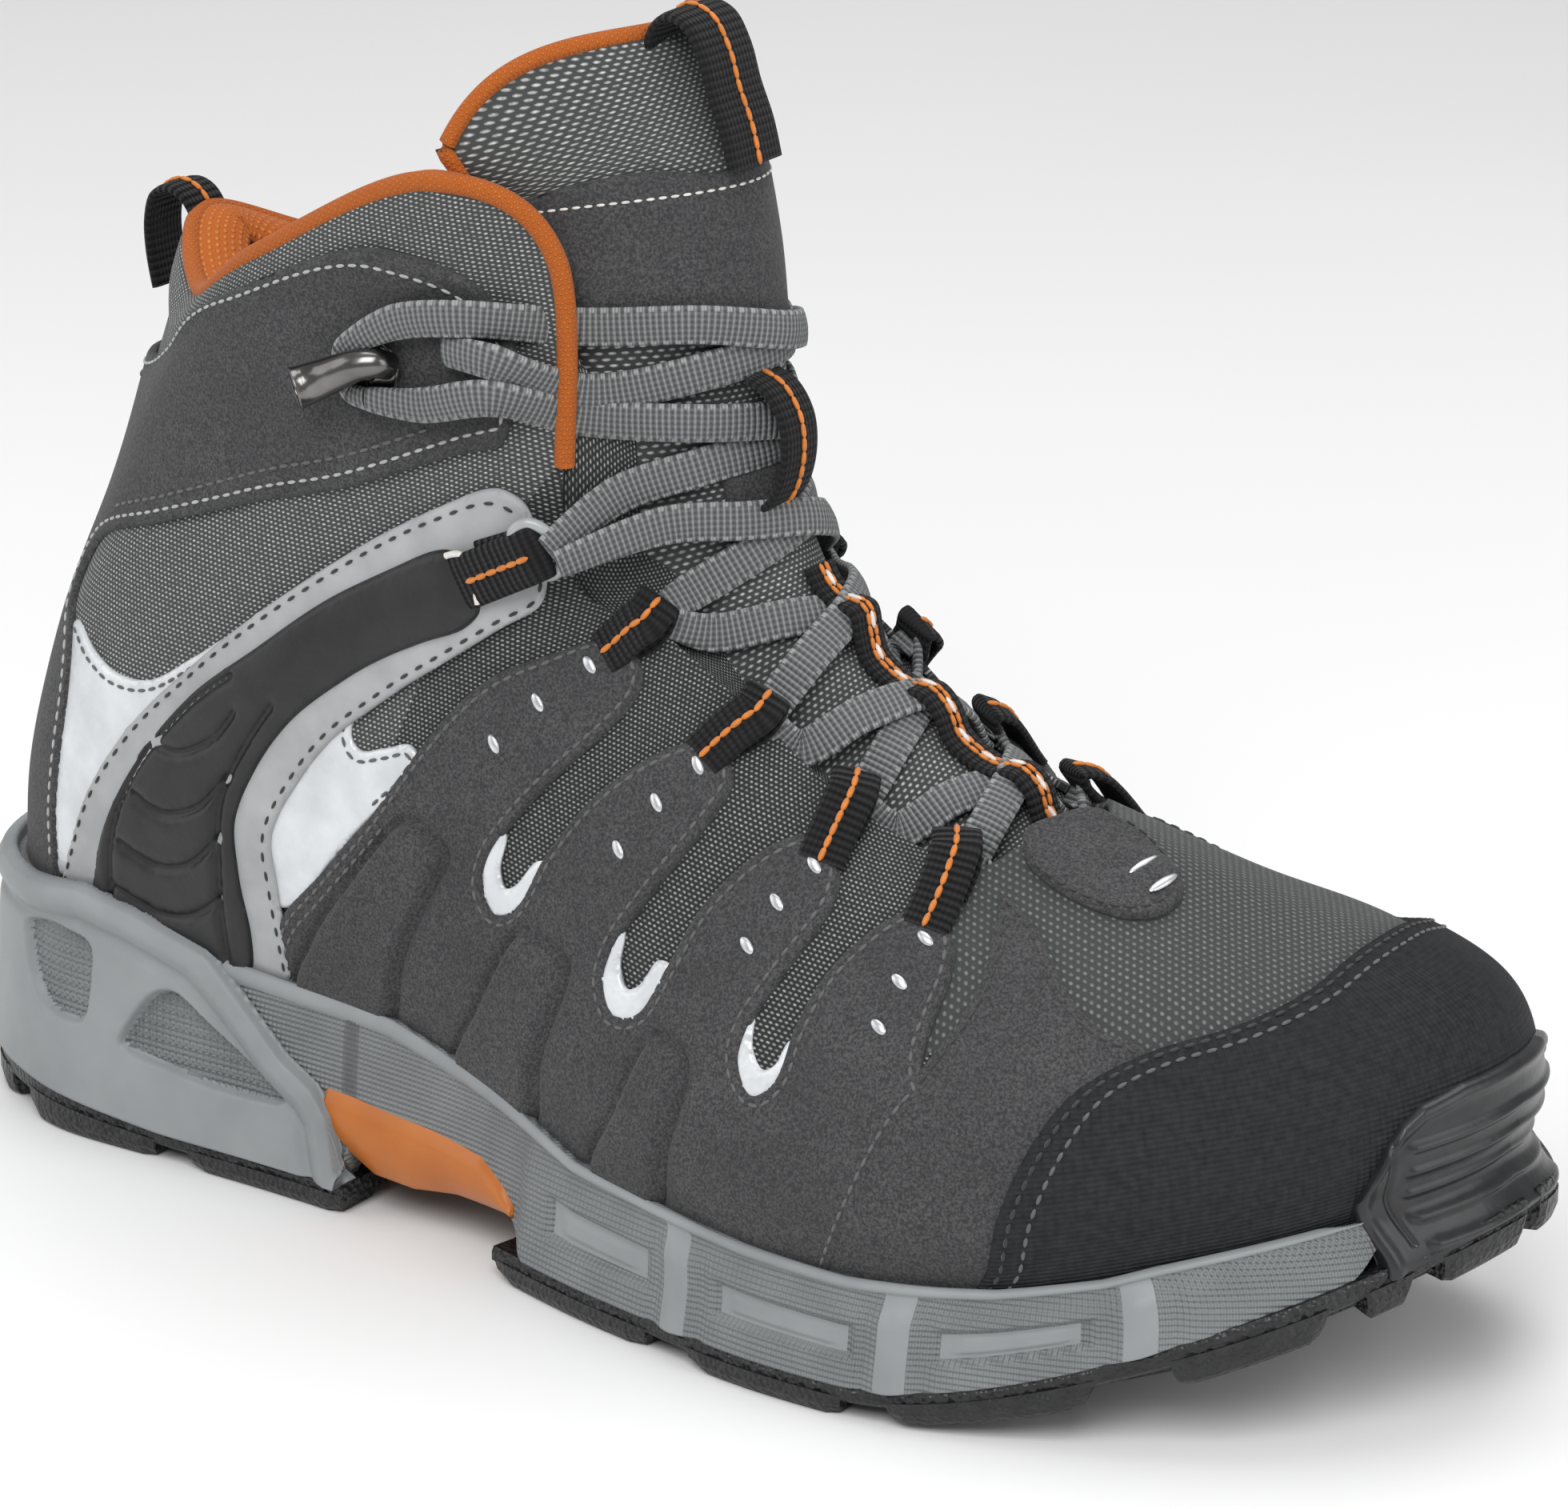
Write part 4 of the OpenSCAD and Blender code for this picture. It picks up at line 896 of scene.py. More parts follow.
def strap_mesh(p, hint, width, thick, crown=0.25):
    """Verts, faces and uvs of a flat woven strap with rounded edges along p."""
    t, side, up = frames_along(p, hint)
    w = np.broadcast_to(np.asarray(width, float), (len(p),))[:, None, None]
    half = thick / 2
    prof = [(-0.5, 0.0), (-0.47, 0.7), (-0.36, 1.0), (-0.18, 1 + crown * 0.7), (0, 1 + crown), (0.18, 1 + crown * 0.7),
            (0.36, 1.0), (0.47, 0.7), (0.5, 0.0), (0.47, -0.7), (0.36, -1.0), (0, -1.0), (-0.36, -1.0), (-0.47, -0.7)]
    prof = np.array(prof)
    ring = p[:, None] + w * prof[None, :, :1] * side[:, None] + half * prof[None, :, 1:] * up[:, None]
    m = len(prof)
    faces = [tuple(f) for f in grid_faces(len(p), m, wrap_m=True)]
    faces += [tuple(range(m))[::-1], tuple((len(p) - 1) * m + k for k in range(m))]
    d = np.r_[0, np.cumsum(np.linalg.norm(np.diff(p, axis=0), axis=1))]
    uv = np.stack(np.broadcast_arrays((prof[:, 0] + 0.5)[None] * w[..., 0], d[:, None]), -1).reshape(-1, 2)
    return ring.reshape(-1, 3), faces, uv


def merge(parts):
    verts, faces, uvs, k = [], [], [], 0
    for v, f, t in parts:
        verts.append(v)
        uvs.append(t)
        faces += [tuple(i + k for i in q) for q in f]
        k += len(v)
    return np.concatenate(verts), faces, np.concatenate(uvs)


# ---------------------------------------------------------------- outlines of the panels: (station, height)
def mirrored(half):
    return half + [(-u if half[0][0] < 6 and half[-1][0] < 6 else TURN - u, v) for u, v in reversed(half)]


ANKLE = [(12.0, 0.0), (10.15, 0.0), (10.1, 0.9), (10.22, 1.4), (10.42, 1.9), (10.72, 2.3), (10.6, 2.6), (9.9, 2.85),
         (9.25, 3.05), (8.6, 3.32), (8.15, 3.68), (7.8, 4.1), (7.7, 4.33), (7.85, 4.52), (8.2, 4.6), (8.9, 4.62),
         (9.6, 4.68), (10.4, 4.62), (11.0, 4.3), (11.5, 4.05), (12.0, 3.95)]
ANKLE_ALL = ANKLE[1:] + [(TURN - u, v) for u, v in reversed(ANKLE[1:-1])]
STRAP_TOP = [(7.56, 3.72), (7.95, 3.2), (8.3, 2.8), (8.65, 2.35), (9.05, 1.9), (9.3, 1.5), (9.47, 1.05), (9.57, 0.6),
             (9.6, 0.1)]
STRAP_LOW = [(8.3, 0.1), (8.22, 0.5), (8.32, 0.95), (8.42, 1.3), (8.36, 1.65), (8.2, 2.05), (7.9, 2.5), (7.48, 3.1),
             (7.22, 3.6), (7.2, 3.84), (7.36, 3.82)]
TRIM_TOP = [(7.3, 4.62), (7.52, 4.3), (7.85, 3.68), (8.28, 3.12), (8.68, 2.62), (9.12, 2.08), (9.47, 1.62), (9.68, 1.2),
            (9.82, 0.75), (9.95, 0.1)]
TRIM_LOW = [(7.95, 0.1), (7.92, 0.5), (8.0, 0.95), (8.12, 1.3), (8.0, 1.75), (7.85, 2.1), (7.58, 2.55), (7.25, 3.2),
            (7.02, 3.9), (6.92, 4.5), (7.05, 4.72)]
REAR_PATCH = [(10.5, 2.02), (10.1, 1.9), (9.75, 1.83), (9.45, 1.88), (9.15, 2.12), (8.85, 2.38), (8.6, 2.45),
              (8.9, 1.9), (9.35, 1.2), (9.75, 0.4), (10.3, 0.4), (10.4, 1.3)]
FRONT_PATCH = [(7.78, 2.42), (7.74, 2.2), (7.62, 2.16), (7.42, 2.32), (7.22, 2.5), (7.08, 2.42), (7.3, 1.9),
               (7.55, 1.4), (7.8, 0.9), (8.1, 0.8), (8.35, 1.3), (8.15, 1.9)]
QUARTER = [(8.15, 0.0), (8.1, 0.35), (7.95, 0.75), (7.65, 1.2), (7.35, 1.8), (7.15, 2.5), (7.0, 3.1),
           (6.85, 3.6), (6.62, 4.1), (6.42, 4.5), (6.26, 4.64), (6.08, 4.6), (5.92, 4.42), (5.87, 4.15), (5.95, 3.7),
           (6.13, 3.1), (6.27, 2.6), (6.36, 2.15), (6.32, 1.88), (6.18, 1.78), (6.05, 1.95),
           (5.97, 2.5), (5.8, 3.15), (5.55, 3.7), (5.3, 4.12), (5.12, 4.32), (4.95, 4.28), (4.84, 4.08), (4.86, 3.7),
           (4.98, 3.15), (5.13, 2.6), (5.26, 2.1), (5.27, 1.8), (5.16, 1.62), (5.0, 1.72),
           (4.88, 2.2), (4.78, 2.75), (4.62, 3.3), (4.4, 3.9), (4.24, 4.18), (4.08, 4.2), (3.96, 4.02), (3.95, 3.6),
           (4.06, 3.1), (4.2, 2.6), (4.33, 2.1), (4.35, 1.78), (4.26, 1.6), (4.14, 1.78),
           (4.06, 2.3), (3.93, 2.85), (3.72, 3.45), (3.52, 3.9), (3.34, 4.14), (3.18, 4.1), (3.09, 3.9), (3.1, 3.5),
           (3.18, 3.0), (3.24, 2.5), (3.2, 2.2), (3.12, 2.25), (3.2, 2.15), (3.42, 1.6), (3.6, 0.95), (3.72, 0.3),
           (3.75, 0.0)]
VAMP_SIDE = [(3.9, 0.0), (3.8, 0.5), (3.68, 1.1), (3.5, 1.7), (3.28, 2.3), (3.08, 2.9), (2.92, 3.5), (2.8, 4.2),
             (2.66, 4.62), (2.55, 4.3), (2.52, 3.7), (2.48, 3.2), (2.36, 2.8), (2.2, 2.5), (2.5, 2.1), (2.65, 1.6),
             (2.75, 1.0), (2.8, 0.4), (2.82, 0.0)]
RAND_EDGE = [(2.93, 0.05), (2.9, 0.5), (2.85, 1.1), (2.71, 1.72), (2.5, 2.25), (2.2, 2.52), (1.7, 2.66), (1.1, 2.82),
             (0.5, 3.0)]
TAB = [(0.1, 5.05), (0.12, 4.75), (0.38, 4.44), (0.72, 4.2), (1.12, 4.08), (1.55, 4.08), (1.92, 4.2), (2.14, 4.46), (2.2, 4.8),
       (1.9, 5.04), (1.0, 5.1)]
PADS = [[(6.95, 2.07), (7.05, 2.0), (7.35, 1.3), (7.7, 0.6), (7.86, 0.22), (7.45, 0.1), (7.02, 0.15), (6.8, 1.05),
         (6.66, 1.8), (6.64, 1.95), (6.68, 2.02)],
        [(5.93, 1.82), (6.0, 1.7), (6.15, 1.0), (6.38, 0.2), (6.05, 0.1), (5.72, 0.15), (5.63, 0.9), (5.54, 1.62),
         (5.56, 1.76), (5.62, 1.8)],
        [(4.85, 1.66), (4.9, 1.55), (5.03, 0.95), (5.2, 0.15), (5.0, 0.08), (4.76, 0.12), (4.7, 0.8), (4.63, 1.48),
         (4.65, 1.6), (4.7, 1.66)]]
# Places of the painted highlights along the quarter's fingers: (station, height)
HIGHLIGHT_SPOTS = [[(6.3, 4.22), (6.48, 3.62), (6.62, 3.05)], [(5.12, 4.0), (5.3, 3.42), (5.45, 2.85)],
                [(4.13, 3.9), (4.3, 3.3), (4.42, 2.75)], [(3.28, 3.8), (3.42, 3.2), (3.52, 2.65)]]

def pad_shape(u, v, far):
    """The pressed pads of the quarter overlay stand a little proud."""
    h = np.zeros(len(u))
    pts = np.stack([u * 28.0, v * 21.0], -1)
    for pad in PADS:
        rim = resample(spline(pad, 8), 0.6) * UPPER_SKIN.metric
        d = nearest(pts, rim)
        h += np.where(inside(rim, pts), 1.6 * np.clip(d / 1.4, 0, 1)**0.7, 0)
    return h


def oval(name_list, uvs, direction, medial, off, size, mat_key, body):
    """Small shiny ovals laid on the upper: painted highlights, glints of light on the suede."""
    verts, faces, tex, k = [], [], [], 0
    for (u, v), (du, dv) in zip(uvs, direction):
        uu = TURN - u if medial else u
        sg = -1 if medial else 1
        p = skin(np.array(uu), np.array(v), np.array(off))
        a = skin(np.array(uu + sg * du * 0.02), np.array(v + dv * 0.02), np.array(off)) - p
        n = skin(np.array(uu), np.array(v), np.array(off + 1.0)) - p
        a /= np.linalg.norm(a)
        b = np.cross(n, a)
        rings = 8
        for i in range(rings):
            th = math.pi / 2 * i / (rings - 1)
            r, h = math.cos(th), math.sin(th)
            for q in np.linspace(0, 2 * math.pi, 18, endpoint=False):
                verts.append(p + a * size[0] * r * math.cos(q) + b * size[1] * r * math.sin(q) + n * size[2] * h)
                tex.append((0, 0))
        base = k
        faces += [tuple(f + base) for f in grid_faces(rings, 18, wrap_m=True, flip=False)]
        faces.append(tuple(base + q for q in range(18))[::-1])
        k += rings * 18
    return np.array(verts), faces, np.array(tex, float)


# ---------------------------------------------------------------- sole
def sole_at(u, inset, z):
    """A point on the sole's outline moved inwards, at height z."""
    u, inset, z = np.broadcast_arrays(np.asarray(u, float), np.asarray(inset, float), np.asarray(z, float))
    p = outline(u, inset)
    return np.stack([p[..., 0], p[..., 1] + centre(p[..., 0], z), z], -1)


# How far the midsole's lower edge lifts off the outsole over the arch: places along the boot, and heights
ARCH_LIFT = ([0, 96, 99, 117, 128, 136, 141], [0, 0, 15.0, 14.5, 13, 6, 0])
# Pillars of the forefoot wall, and the pressed pads between them, along the boot
PILLARS = [177.5, 220, 257.5]
WALL_PADS = [(147, 170), (186, 212), (227, 250)]
# Upper edge of the heel frame, and its two windows: places along the boot, and heights
FRAME_EDGE = ([0, 12, 25, 38, 49, 65, 74, 84, 91, 95, 97.5], [46.5, 46.5, 47, 49, 47, 42.5, 35.5, 26.5, 22.5, 18, 8.2])
WINDOWS = [[(24, 37.5), (28, 39.5), (35, 40), (41.5, 38), (42, 31), (40, 22.5), (34, 21.5), (28.5, 24), (25, 30)],
           [(47.5, 20), (50.5, 26.5), (55, 32), (59.5, 33.5), (67, 29.5), (77, 23), (84.5, 17.6), (73, 16.2), (60, 17.2)]]


def place_along(u):
    return outline(u, np.zeros(np.shape(u)))[..., 0]


def wall_point(u, z, off):
    """A point on the midsole's outer wall at height z, moved outwards by off: the sole's outline below, the upper's
    rim above."""
    u, z, off = np.broadcast_arrays(np.asarray(u, float), np.asarray(z, float), np.asarray(off, float))
    x = place_along(u)
    base, top = outsole_top(x), rim_z(x)
    v = np.zeros(u.shape)
    for _ in range(5):
        v = np.clip(v + (top - upper_raw(u, v)[..., 2]) / 20.0, 0, 1.2)
    n = normal_of(upper_raw, u, v)
    rim = upper_raw(u, v) + n * (3.2 + off)[..., None]
    h = np.clip((z - base) / (top - base), 0, 1.15)
    flat = sole_at(u, 0.7 + 0.9 * np.sin(np.pi * np.clip(h, 0, 1))**1.5 - off, z)
    lean = (np.clip(h, 0, 1)**3)[..., None]
    p = flat * (1 - lean) + rim * lean
    p[..., 2] = z
    return p


def wall_mesh(name, u, low, top, rows, off, tuck, mats, split, body, replaces):
    """A closed wall from low to top with the outward offset off(x, z, h); split(x, z, h) picks the second material."""
    h = np.linspace(0, 1, rows)[None]
    z = mix(low[:, None], top[:, None], h)
    uu = np.broadcast_to(u[:, None], z.shape)
    x = place_along(uu)
    outer = wall_point(uu, z, off(x, z, h))
    lip = wall_point(u, top - 0.8, -tuck)
    under = wall_point(u, low, -3.2 - tuck)
    ring = np.concatenate([outer, lip[:, None], under[:, None]], axis=1)
    m, n = ring.shape[1], len(u)
    faces = [tuple(f) for f in grid_faces(n, m, wrap_m=True, flip=True)]
    faces += [tuple(range(m)), tuple((n - 1) * m + k for k in range(m))[::-1]]
    arc = np.r_[0, np.cumsum(np.linalg.norm(np.diff(outer[:, rows // 4], axis=0), axis=1))]
    uv = np.stack([np.broadcast_to(arc[:, None], ring.shape[:2]), ring[..., 2]], -1).reshape(-1, 2)
    obj = make(name, ring.reshape(-1, 3), faces, mats[0], body, uv, replaces)
    obj.data.materials.append(mats[1])
    flag = np.zeros((n, m), bool)
    flag[:, :rows] = split(x, z, h)
    flag = flag.reshape(-1)
    for poly in obj.data.polygons:
        if all(flag[i] for i in poly.vertices):
            poly.material_index = 1
    return obj


def window_box(x, h, a, b, lo, hi, soft_x, soft_h):
    return bump(x, a, b, soft_x) * bump(h, lo, hi, soft_h)


def wall_relief(x, z, h):
    """Pressed pads between proud pillars along the forefoot, a smooth rim and a step where the forefoot begins."""
    h = (z - outsole_top(x)) / (rim_z(x) - outsole_top(x))
    r = 0.7 * ease(h, 0.88, 0.94) - 1.1 * ease(h, 0.96, 1.02)
    r = r + 1.3 * ease(x, 137.5, 140.5) * (1 - ease(h, 0.6, 0.85)) * (1 - ease(x, 262, 276))
    for a, b in WALL_PADS:
        r = r - 1.1 * window_box(x, h, a, b, 0.3, 0.56, 1.2, 0.06)
        r = r + 0.45 * window_box(x, h, a + 3.5, b - 3.5, 0.38, 0.48, 1.2, 0.05)
    for c in PILLARS:
        r = r + 0.9 * np.exp(-((x - c) / 2.6)**2) * (1 - ease(h, 0.7, 0.92))
        r = r - 0.5 * np.exp(-((x - c + 5.2) / 1.3)**2) * (1 - ease(h, 0.6, 0.9))
        r = r - 0.5 * np.exp(-((x - c - 5.2) / 1.3)**2) * (1 - ease(h, 0.6, 0.9))
    return r


def wall_plain(x, z, h):
    """Where the midsole is smooth: its rim, the pillars and the floors of the pads."""
    h = (z - outsole_top(x)) / (rim_z(x) - outsole_top(x))
    plain = h > 0.9
    for c in PILLARS:
        plain = plain | (np.abs(x - c) < 3.0)
    for a, b in WALL_PADS:
        plain = plain | ((x > a) & (x < b) & (h > 0.3) & (h < 0.56))
    return plain


def build_midsole():
    reach = 1.16
    u = np.linspace(reach, TURN - reach, 760)
    x = place_along(u)
    top = rim_z(x)
    low = outsole_top(x) + 0.2 + np.interp(x, *ARCH_LIFT)
    tip = 1 - ease(half(u), reach, 1.45)
    low = mix(low, top, 0.55 * tip)
    wall_mesh("midsole", u, low, mix(top, low, 0.12 * tip), 64, wall_relief, 2.4, (MAT["midsole"], MAT["frame"]),
              wall_plain, "flex", ("midsole_rear", "midsole_toe"))


def frame_fields(x, z):
    """Distance from the frame's upper edge, and depth of its windows from 0 to 1."""
    pts = np.stack([x.ravel(), z.ravel()], -1)
    edge = resample(np.stack(FRAME_EDGE, -1).astype(float), 0.6, closed=False, metric=(1, 1))
    d = nearest(pts, edge).reshape(x.shape)
    deep = np.zeros(x.shape)
    for window in WINDOWS:
        rim = resample(spline(window, 8), 0.5, metric=(1, 1))
        away = nearest(pts, rim) * inside(rim, pts)
        deep = np.maximum(deep, ease(away, 0.1, 1.3).reshape(x.shape))
    return d, deep


def build_heel_frame():
    """The grey heel frame: a rolled upper arm sweeping down to the arch, and two sunken diamond windows a side."""
    reach = 7.24
    u = np.linspace(reach, TURN - reach, 640)
    x = place_along(u)
    top = np.interp(x, *FRAME_EDGE)
    low = outsole_top(x) + 0.2

    def off(x, z, h):
        d, deep = frame_fields(x, z)
        studs = 0.28 * np.sin(2 * np.pi * (x + z) / 3.0) * np.sin(2 * np.pi * (x - z) / 3.0)
        roll = 1.5 * np.exp(-((d - 3.0) / 2.5)**2) - 0.9 * np.exp(-((d - 7.4) / 1.2)**2)
        tuck = -2.2 * (1 - ease(d, 0.0, 1.0))
        return 1.9 + roll + tuck - deep * (1.9 - studs)

    wall_mesh("heel_frame", u, low, top, 92, off, 0.2, (MAT["frame"], MAT["frame_pad"]),
              lambda x, z, h: frame_fields(x, z)[1] > 0.6, "boot", ("heel_frame",))


def block(u0, u1, in0, in1, z0, z1, nu=12, taper=0.6, slant=0.035):
    """A rubber lug between two stations: verts and faces of a tapered box on the outline, with slanted ends."""
    top_u, low_u = np.linspace(u0, u1, nu), np.linspace(u0 + slant, u1 - slant, nu)
    rows = []
    for k, (u, w) in enumerate(zip(top_u, low_u)):
        cut = taper if k in (0, nu - 1) else 0.0
        zl = z0(w) + (0.5 if k in (0, nu - 1) else 0)
        m = (u + w) / 2
        rows.append([sole_at(u, in0 + cut * 0.4, z1(u)), sole_at(m, in0 + cut, (zl + z1(u)) / 2),
                     sole_at(w, in0 + taper + cut, zl + 0.8), sole_at(w, in0 + taper + 0.8 + cut, zl),
                     sole_at(w, in1 - 0.7, zl), sole_at(w, in1, zl + 0.7), sole_at(u, in1, z1(u))])
    g = np.array(rows).reshape(nu, 7, 3)
    faces = [tuple(f) for f in grid_faces(nu, 7, wrap_m=True)]
    faces += [tuple(range(7))[::-1], tuple((nu - 1) * 7 + k for k in range(7))]
    return g.reshape(-1, 3), faces


def solid(name, parts, mat, body, replaces=()):
    verts, faces, k = [], [], 0
    for v, f in parts:
        verts.append(v)
        faces += [tuple(i + k for i in q) for q in f]
        k += len(v)
    verts = np.concatenate(verts)
    obj = make(name, verts, faces, mat, body, verts[:, :2], replaces)
    mesh = obj.data
    mesh.polygons.foreach_set("use_smooth", [False] * len(mesh.polygons))
    return obj


# Lugs round the edge of the tread, between two stations
HEEL_LUGS = [(7.24, 8.66), (8.94, 10.2), (10.5, 11.75)]
FORE_LUGS = [(4.74, 5.8), (3.56, 4.5), (2.48, 3.3), (1.56, 2.24)]
TOE_LUGS = [(1.06, 1.36), (0.1, 0.86)]
TREAD_HEEL = ((14, 24), (30, 42), (48, 60), (66, 78), (84, 93))
TREAD_FORE = ((138, 148), (154, 166), (172, 185), (191, 203), (209, 221), (227, 239), (245, 256), (262, 271))


def edge_band(u0, u1, n=110):
    """The continuous upper part of the outsole's side, above the lugs."""
    rows = []
    for u in np.linspace(u0, u1, n):
        x = float(place_along(u))
        top, mid = float(outsole_top(x)) + 0.4, float(mix(ground(x), outsole_top(x), 0.64))
        rows.append([sole_at(u, -0.1, top), sole_at(u, -0.5, top - 0.9), sole_at(u, -0.4, mid), sole_at(u, 0.8, mid - 0.9),
                     sole_at(u, 12, mid - 0.9), sole_at(u, 12, top)])
    m = len(rows[0])
    faces = [tuple(q) for q in grid_faces(n, m, wrap_m=True)]
    faces += [tuple(range(m))[::-1], tuple((n - 1) * m + k for k in range(m))]
    return np.array(rows).reshape(-1, 3), faces


def build_outsole():
    low = lambda u: float(ground(float(place_along(u))))
    mid = lambda u: float(mix(low(u), outsole_top(float(place_along(u))), 0.72))
    heel = [edge_band(7.22, TURN - 7.22), plate(7.3, 11.9, 4.0, 3.5)]
    fore = [edge_band(0.1, 5.82), edge_band(TURN - 5.82, TURN - 0.1), plate(0.3, 5.75, 3.6, 3.0)]
    for lugs, parts, width in ((HEEL_LUGS, heel, 10), (FORE_LUGS + TOE_LUGS, fore, 10.5)):
        for a, b in lugs:
            parts += [block(s0, s1, -0.7, width, low, mid) for s0, s1 in ((a, b), (TURN - b, TURN - a))]
    heel += [bar(x0, x1, 13.5, 0.2) for x0, x1 in TREAD_HEEL]
    fore += [bar(x0, x1, 13.5, 0.2) for x0, x1 in TREAD_FORE]
    solid("outsole_heel_lugs", heel, MAT["outsole"], "boot", ("outsole_heel",))
    solid("outsole_forefoot_lugs", fore, MAT["outsole"], "flex", ("outsole_ball", "outsole_toe"))


def plate(s0, s1, up, inset):
    """The web of rubber between the lugs, from side to side."""
    n = 40
    rows = []
    for s in np.linspace(s0, s1, n):
        a, b = sole_at(s, inset, 0), sole_at(TURN - s, inset, 0)
        g = float(ground(a[0]))
        z0, z1 = g + up - 0.4, g + float(outsole_top(a[0]) - ground(a[0])) + 0.3
        for p, z in ((a, z0), (b, z0), (b, z1), (a, z1)):
            rows.append([p[0], p[1], z])
    g = np.array(rows)
    f = [tuple(q) for q in grid_faces(n, 4, wrap_m=True)]
    f += [(3, 2, 1, 0), tuple((n - 1) * 4 + k for k in range(4))]
    return g, f


def bar(x0, x1, inset, clear):
    """A chevron lug across the tread between x0 and x1."""
    rows = []
    ys = np.linspace(-1, 1, 9)
    for y in ys:
        for x, top in ((x0, 0), (x1, 0), (x1, 1), (x0, 1)):
            lead = 3.5 * (1 - abs(y))
            xx = x + lead
            s = np.interp(-xx, -SOLE[:, 0], np.arange(13))
            w = max(float(outline(s, inset)[1]) * -1, 4.0)
            z = float(ground(xx)) + (4.2 if top else clear)
            rows.append([xx, y * w + float(centre(xx, z)), z])
    g = np.array(rows)
    f = [tuple(q) for q in grid_faces(9, 4, wrap_m=True)]
    f += [(3, 2, 1, 0), tuple(8 * 4 + k for k in range(4))]
    return g, f


def bumper_top(s):
    return np.interp(s, [0, 0.5, 0.8, 0.95, 1.05, 1.15, 1.26], [59.5, 58.8, 57, 54.5, 51, 46, 40])


def build_bumper():
    """Rubber toe bumper climbing from the outsole over the rand, with glossy ribs round the front."""
    nu, nb, reach, cover = 300, 110, 1.26, 3.1
    u, b = np.meshgrid(np.linspace(-reach, reach, nu), np.linspace(0, 1, nb), indexing="ij")
    s, x = np.abs(u), place_along(u)
    low, rim, top = outsole_top(x) - 1.5, rim_z(x), bumper_top(s)
    z = mix(low, top, b)
    v = np.full(u.shape, 0.5)
    for _ in range(12):
        v = np.clip(v + (z - upper_raw(u, v)[..., 2]) / 16.0, 0.0, 2.2)
    n = normal_of(upper_raw, u, v)
    over = upper_raw(u, v) + n * cover
    lean = ease(z, rim - 9, rim + 3)[..., None]
    p = sole_at(u, -0.6, z) * (1 - lean) + over * lean
    p[..., 2] = z
    ribs = sum(0.85 * np.exp(-((z - c + 2.2 * s) / 0.85)**2) for c in np.arange(27.0, 54.0, 4.1))
    zone = 1 - ease(s, 0.86, 0.96)
    side = np.minimum((reach - s) * 24.0, (top - z) * 1.0)
    roll = 0.9 * np.exp(-((side - 2.0) / 1.2)**2) - 2.6 * (1 - ease(side, 0.0, 1.1))
    seam = -0.6 * np.exp(-((s - 1.02) / 0.018)**2) * (z > low + 3)
    flat_n = n.copy()
    flat_n[..., 2] *= 0.35
    flat_n /= np.linalg.norm(flat_n, axis=-1, keepdims=True)
    outer = p + flat_n * (ribs * zone + roll + seam)[..., None]
    inner = p - flat_n * 2.4
    verts, faces = closed_sheet(outer, inner)
    uv = np.stack([u * 24, z], -1).reshape(-1, 2)
    make("toe_bumper", verts, faces, MAT["bumper"], "toe", np.concatenate([uv, uv]))


def build_arch():
    """The orange arch insert, bridging the gap between the heel block and the forefoot."""
    nu, nh = 110, 30
    for side, name in ((-1, "lateral"), (1, "medial")):
        s = np.linspace(7.42, 5.72, nu)
        u, h = np.meshgrid(s if side < 0 else TURN - s, np.linspace(0, 1, nh), indexing="ij")
        x = place_along(u)
        low = np.interp(x, [92, 98, 103, 112, 122, 137], [13, 11, 8.8, 8.6, 10.5, 11.2])
        top = np.interp(x, [92, 98, 117, 128, 134, 138], [23, 23, 21.8, 20.2, 16.2, 12.4])
        z = mix(low, top, h)
        belly = 2.4 - 2.3 * np.sin(np.pi * np.clip(h, 0.02, 0.98))**0.7
        outer, inner = sole_at(u, belly, z), sole_at(u, 8.0, z)
        verts, faces = closed_sheet(outer, inner)
        uv = np.stack([x, z], -1).reshape(-1, 2)
        make(f"arch_insert_{name}", verts, faces, MAT["arch"], "boot", np.concatenate([uv, uv]),
             ("arch_shank",) if side < 0 else ())


# ---------------------------------------------------------------- laces, loops and hardware
def tail_smooth(points, per=8):
    return spline(np.array(points, float), per, closed=False)


def up_hints(p, points, normals):
    """Surface normals carried from the control points onto the smooth line."""
    d = np.linalg.norm(p[:, None] - points[None], axis=2)
    w = 1 / (d + 1.0)**3
    n = (w[..., None] * normals[None]).sum(axis=1)
    return n / np.linalg.norm(n, axis=1, keepdims=True)


def on_upper(u, v, off, medial=False):
    u = TURN - u if medial else u
    p = skin(np.array(u), np.array(v), np.array(float(off)))
    return p, skin(np.array(u), np.array(v), np.array(off + 1.0)) - p


def on_tongue(s, t, off, medial=False):
    t = -t if medial else t
    p = tongue_skin(np.array(float(s)), np.array(float(t)), np.array(float(off)))
    return p, tongue_skin(np.array(float(s)), np.array(float(t)), np.array(off + 1.0)) - p


def lace(control, per=10, thick=1.5):
    """Verts, faces and uvs of flat lace through (point, up) controls; pinch says where it bunches to go through."""
    pts = np.array([c[0] for c in control])
    ups = np.array([c[1] for c in control])
    pinch = np.array([c[2] if len(c) > 2 else 1.0 for c in control])
    p = tail_smooth(pts, per)
    hint = up_hints(p, pts, ups)
    t = np.linspace(0, 1, len(p))
    w = np.interp(t, np.linspace(0, 1, len(pts)), pinch) * LACE_WIDE
    return strap_mesh(p, hint, w, thick, crown=0.35)


LOOP_U = [6.1, 4.97, 4.02, 3.08]
LOOP_S = [3.95, 2.7, 1.65, 0.5]
RING_S = 4.85


def ring_point(medial):
    j = JOINTS["medial_ring_swing" if medial else "lateral_ring_swing"]["pos_m"]
    return np.array([j[0] / MM + HEEL_REF, j[1] / MM, j[2] / MM])


def nose(i, medial):
    p, n = on_upper(LOOP_U[i], 5.12, 2.1, medial)
    return p, n, 0.62


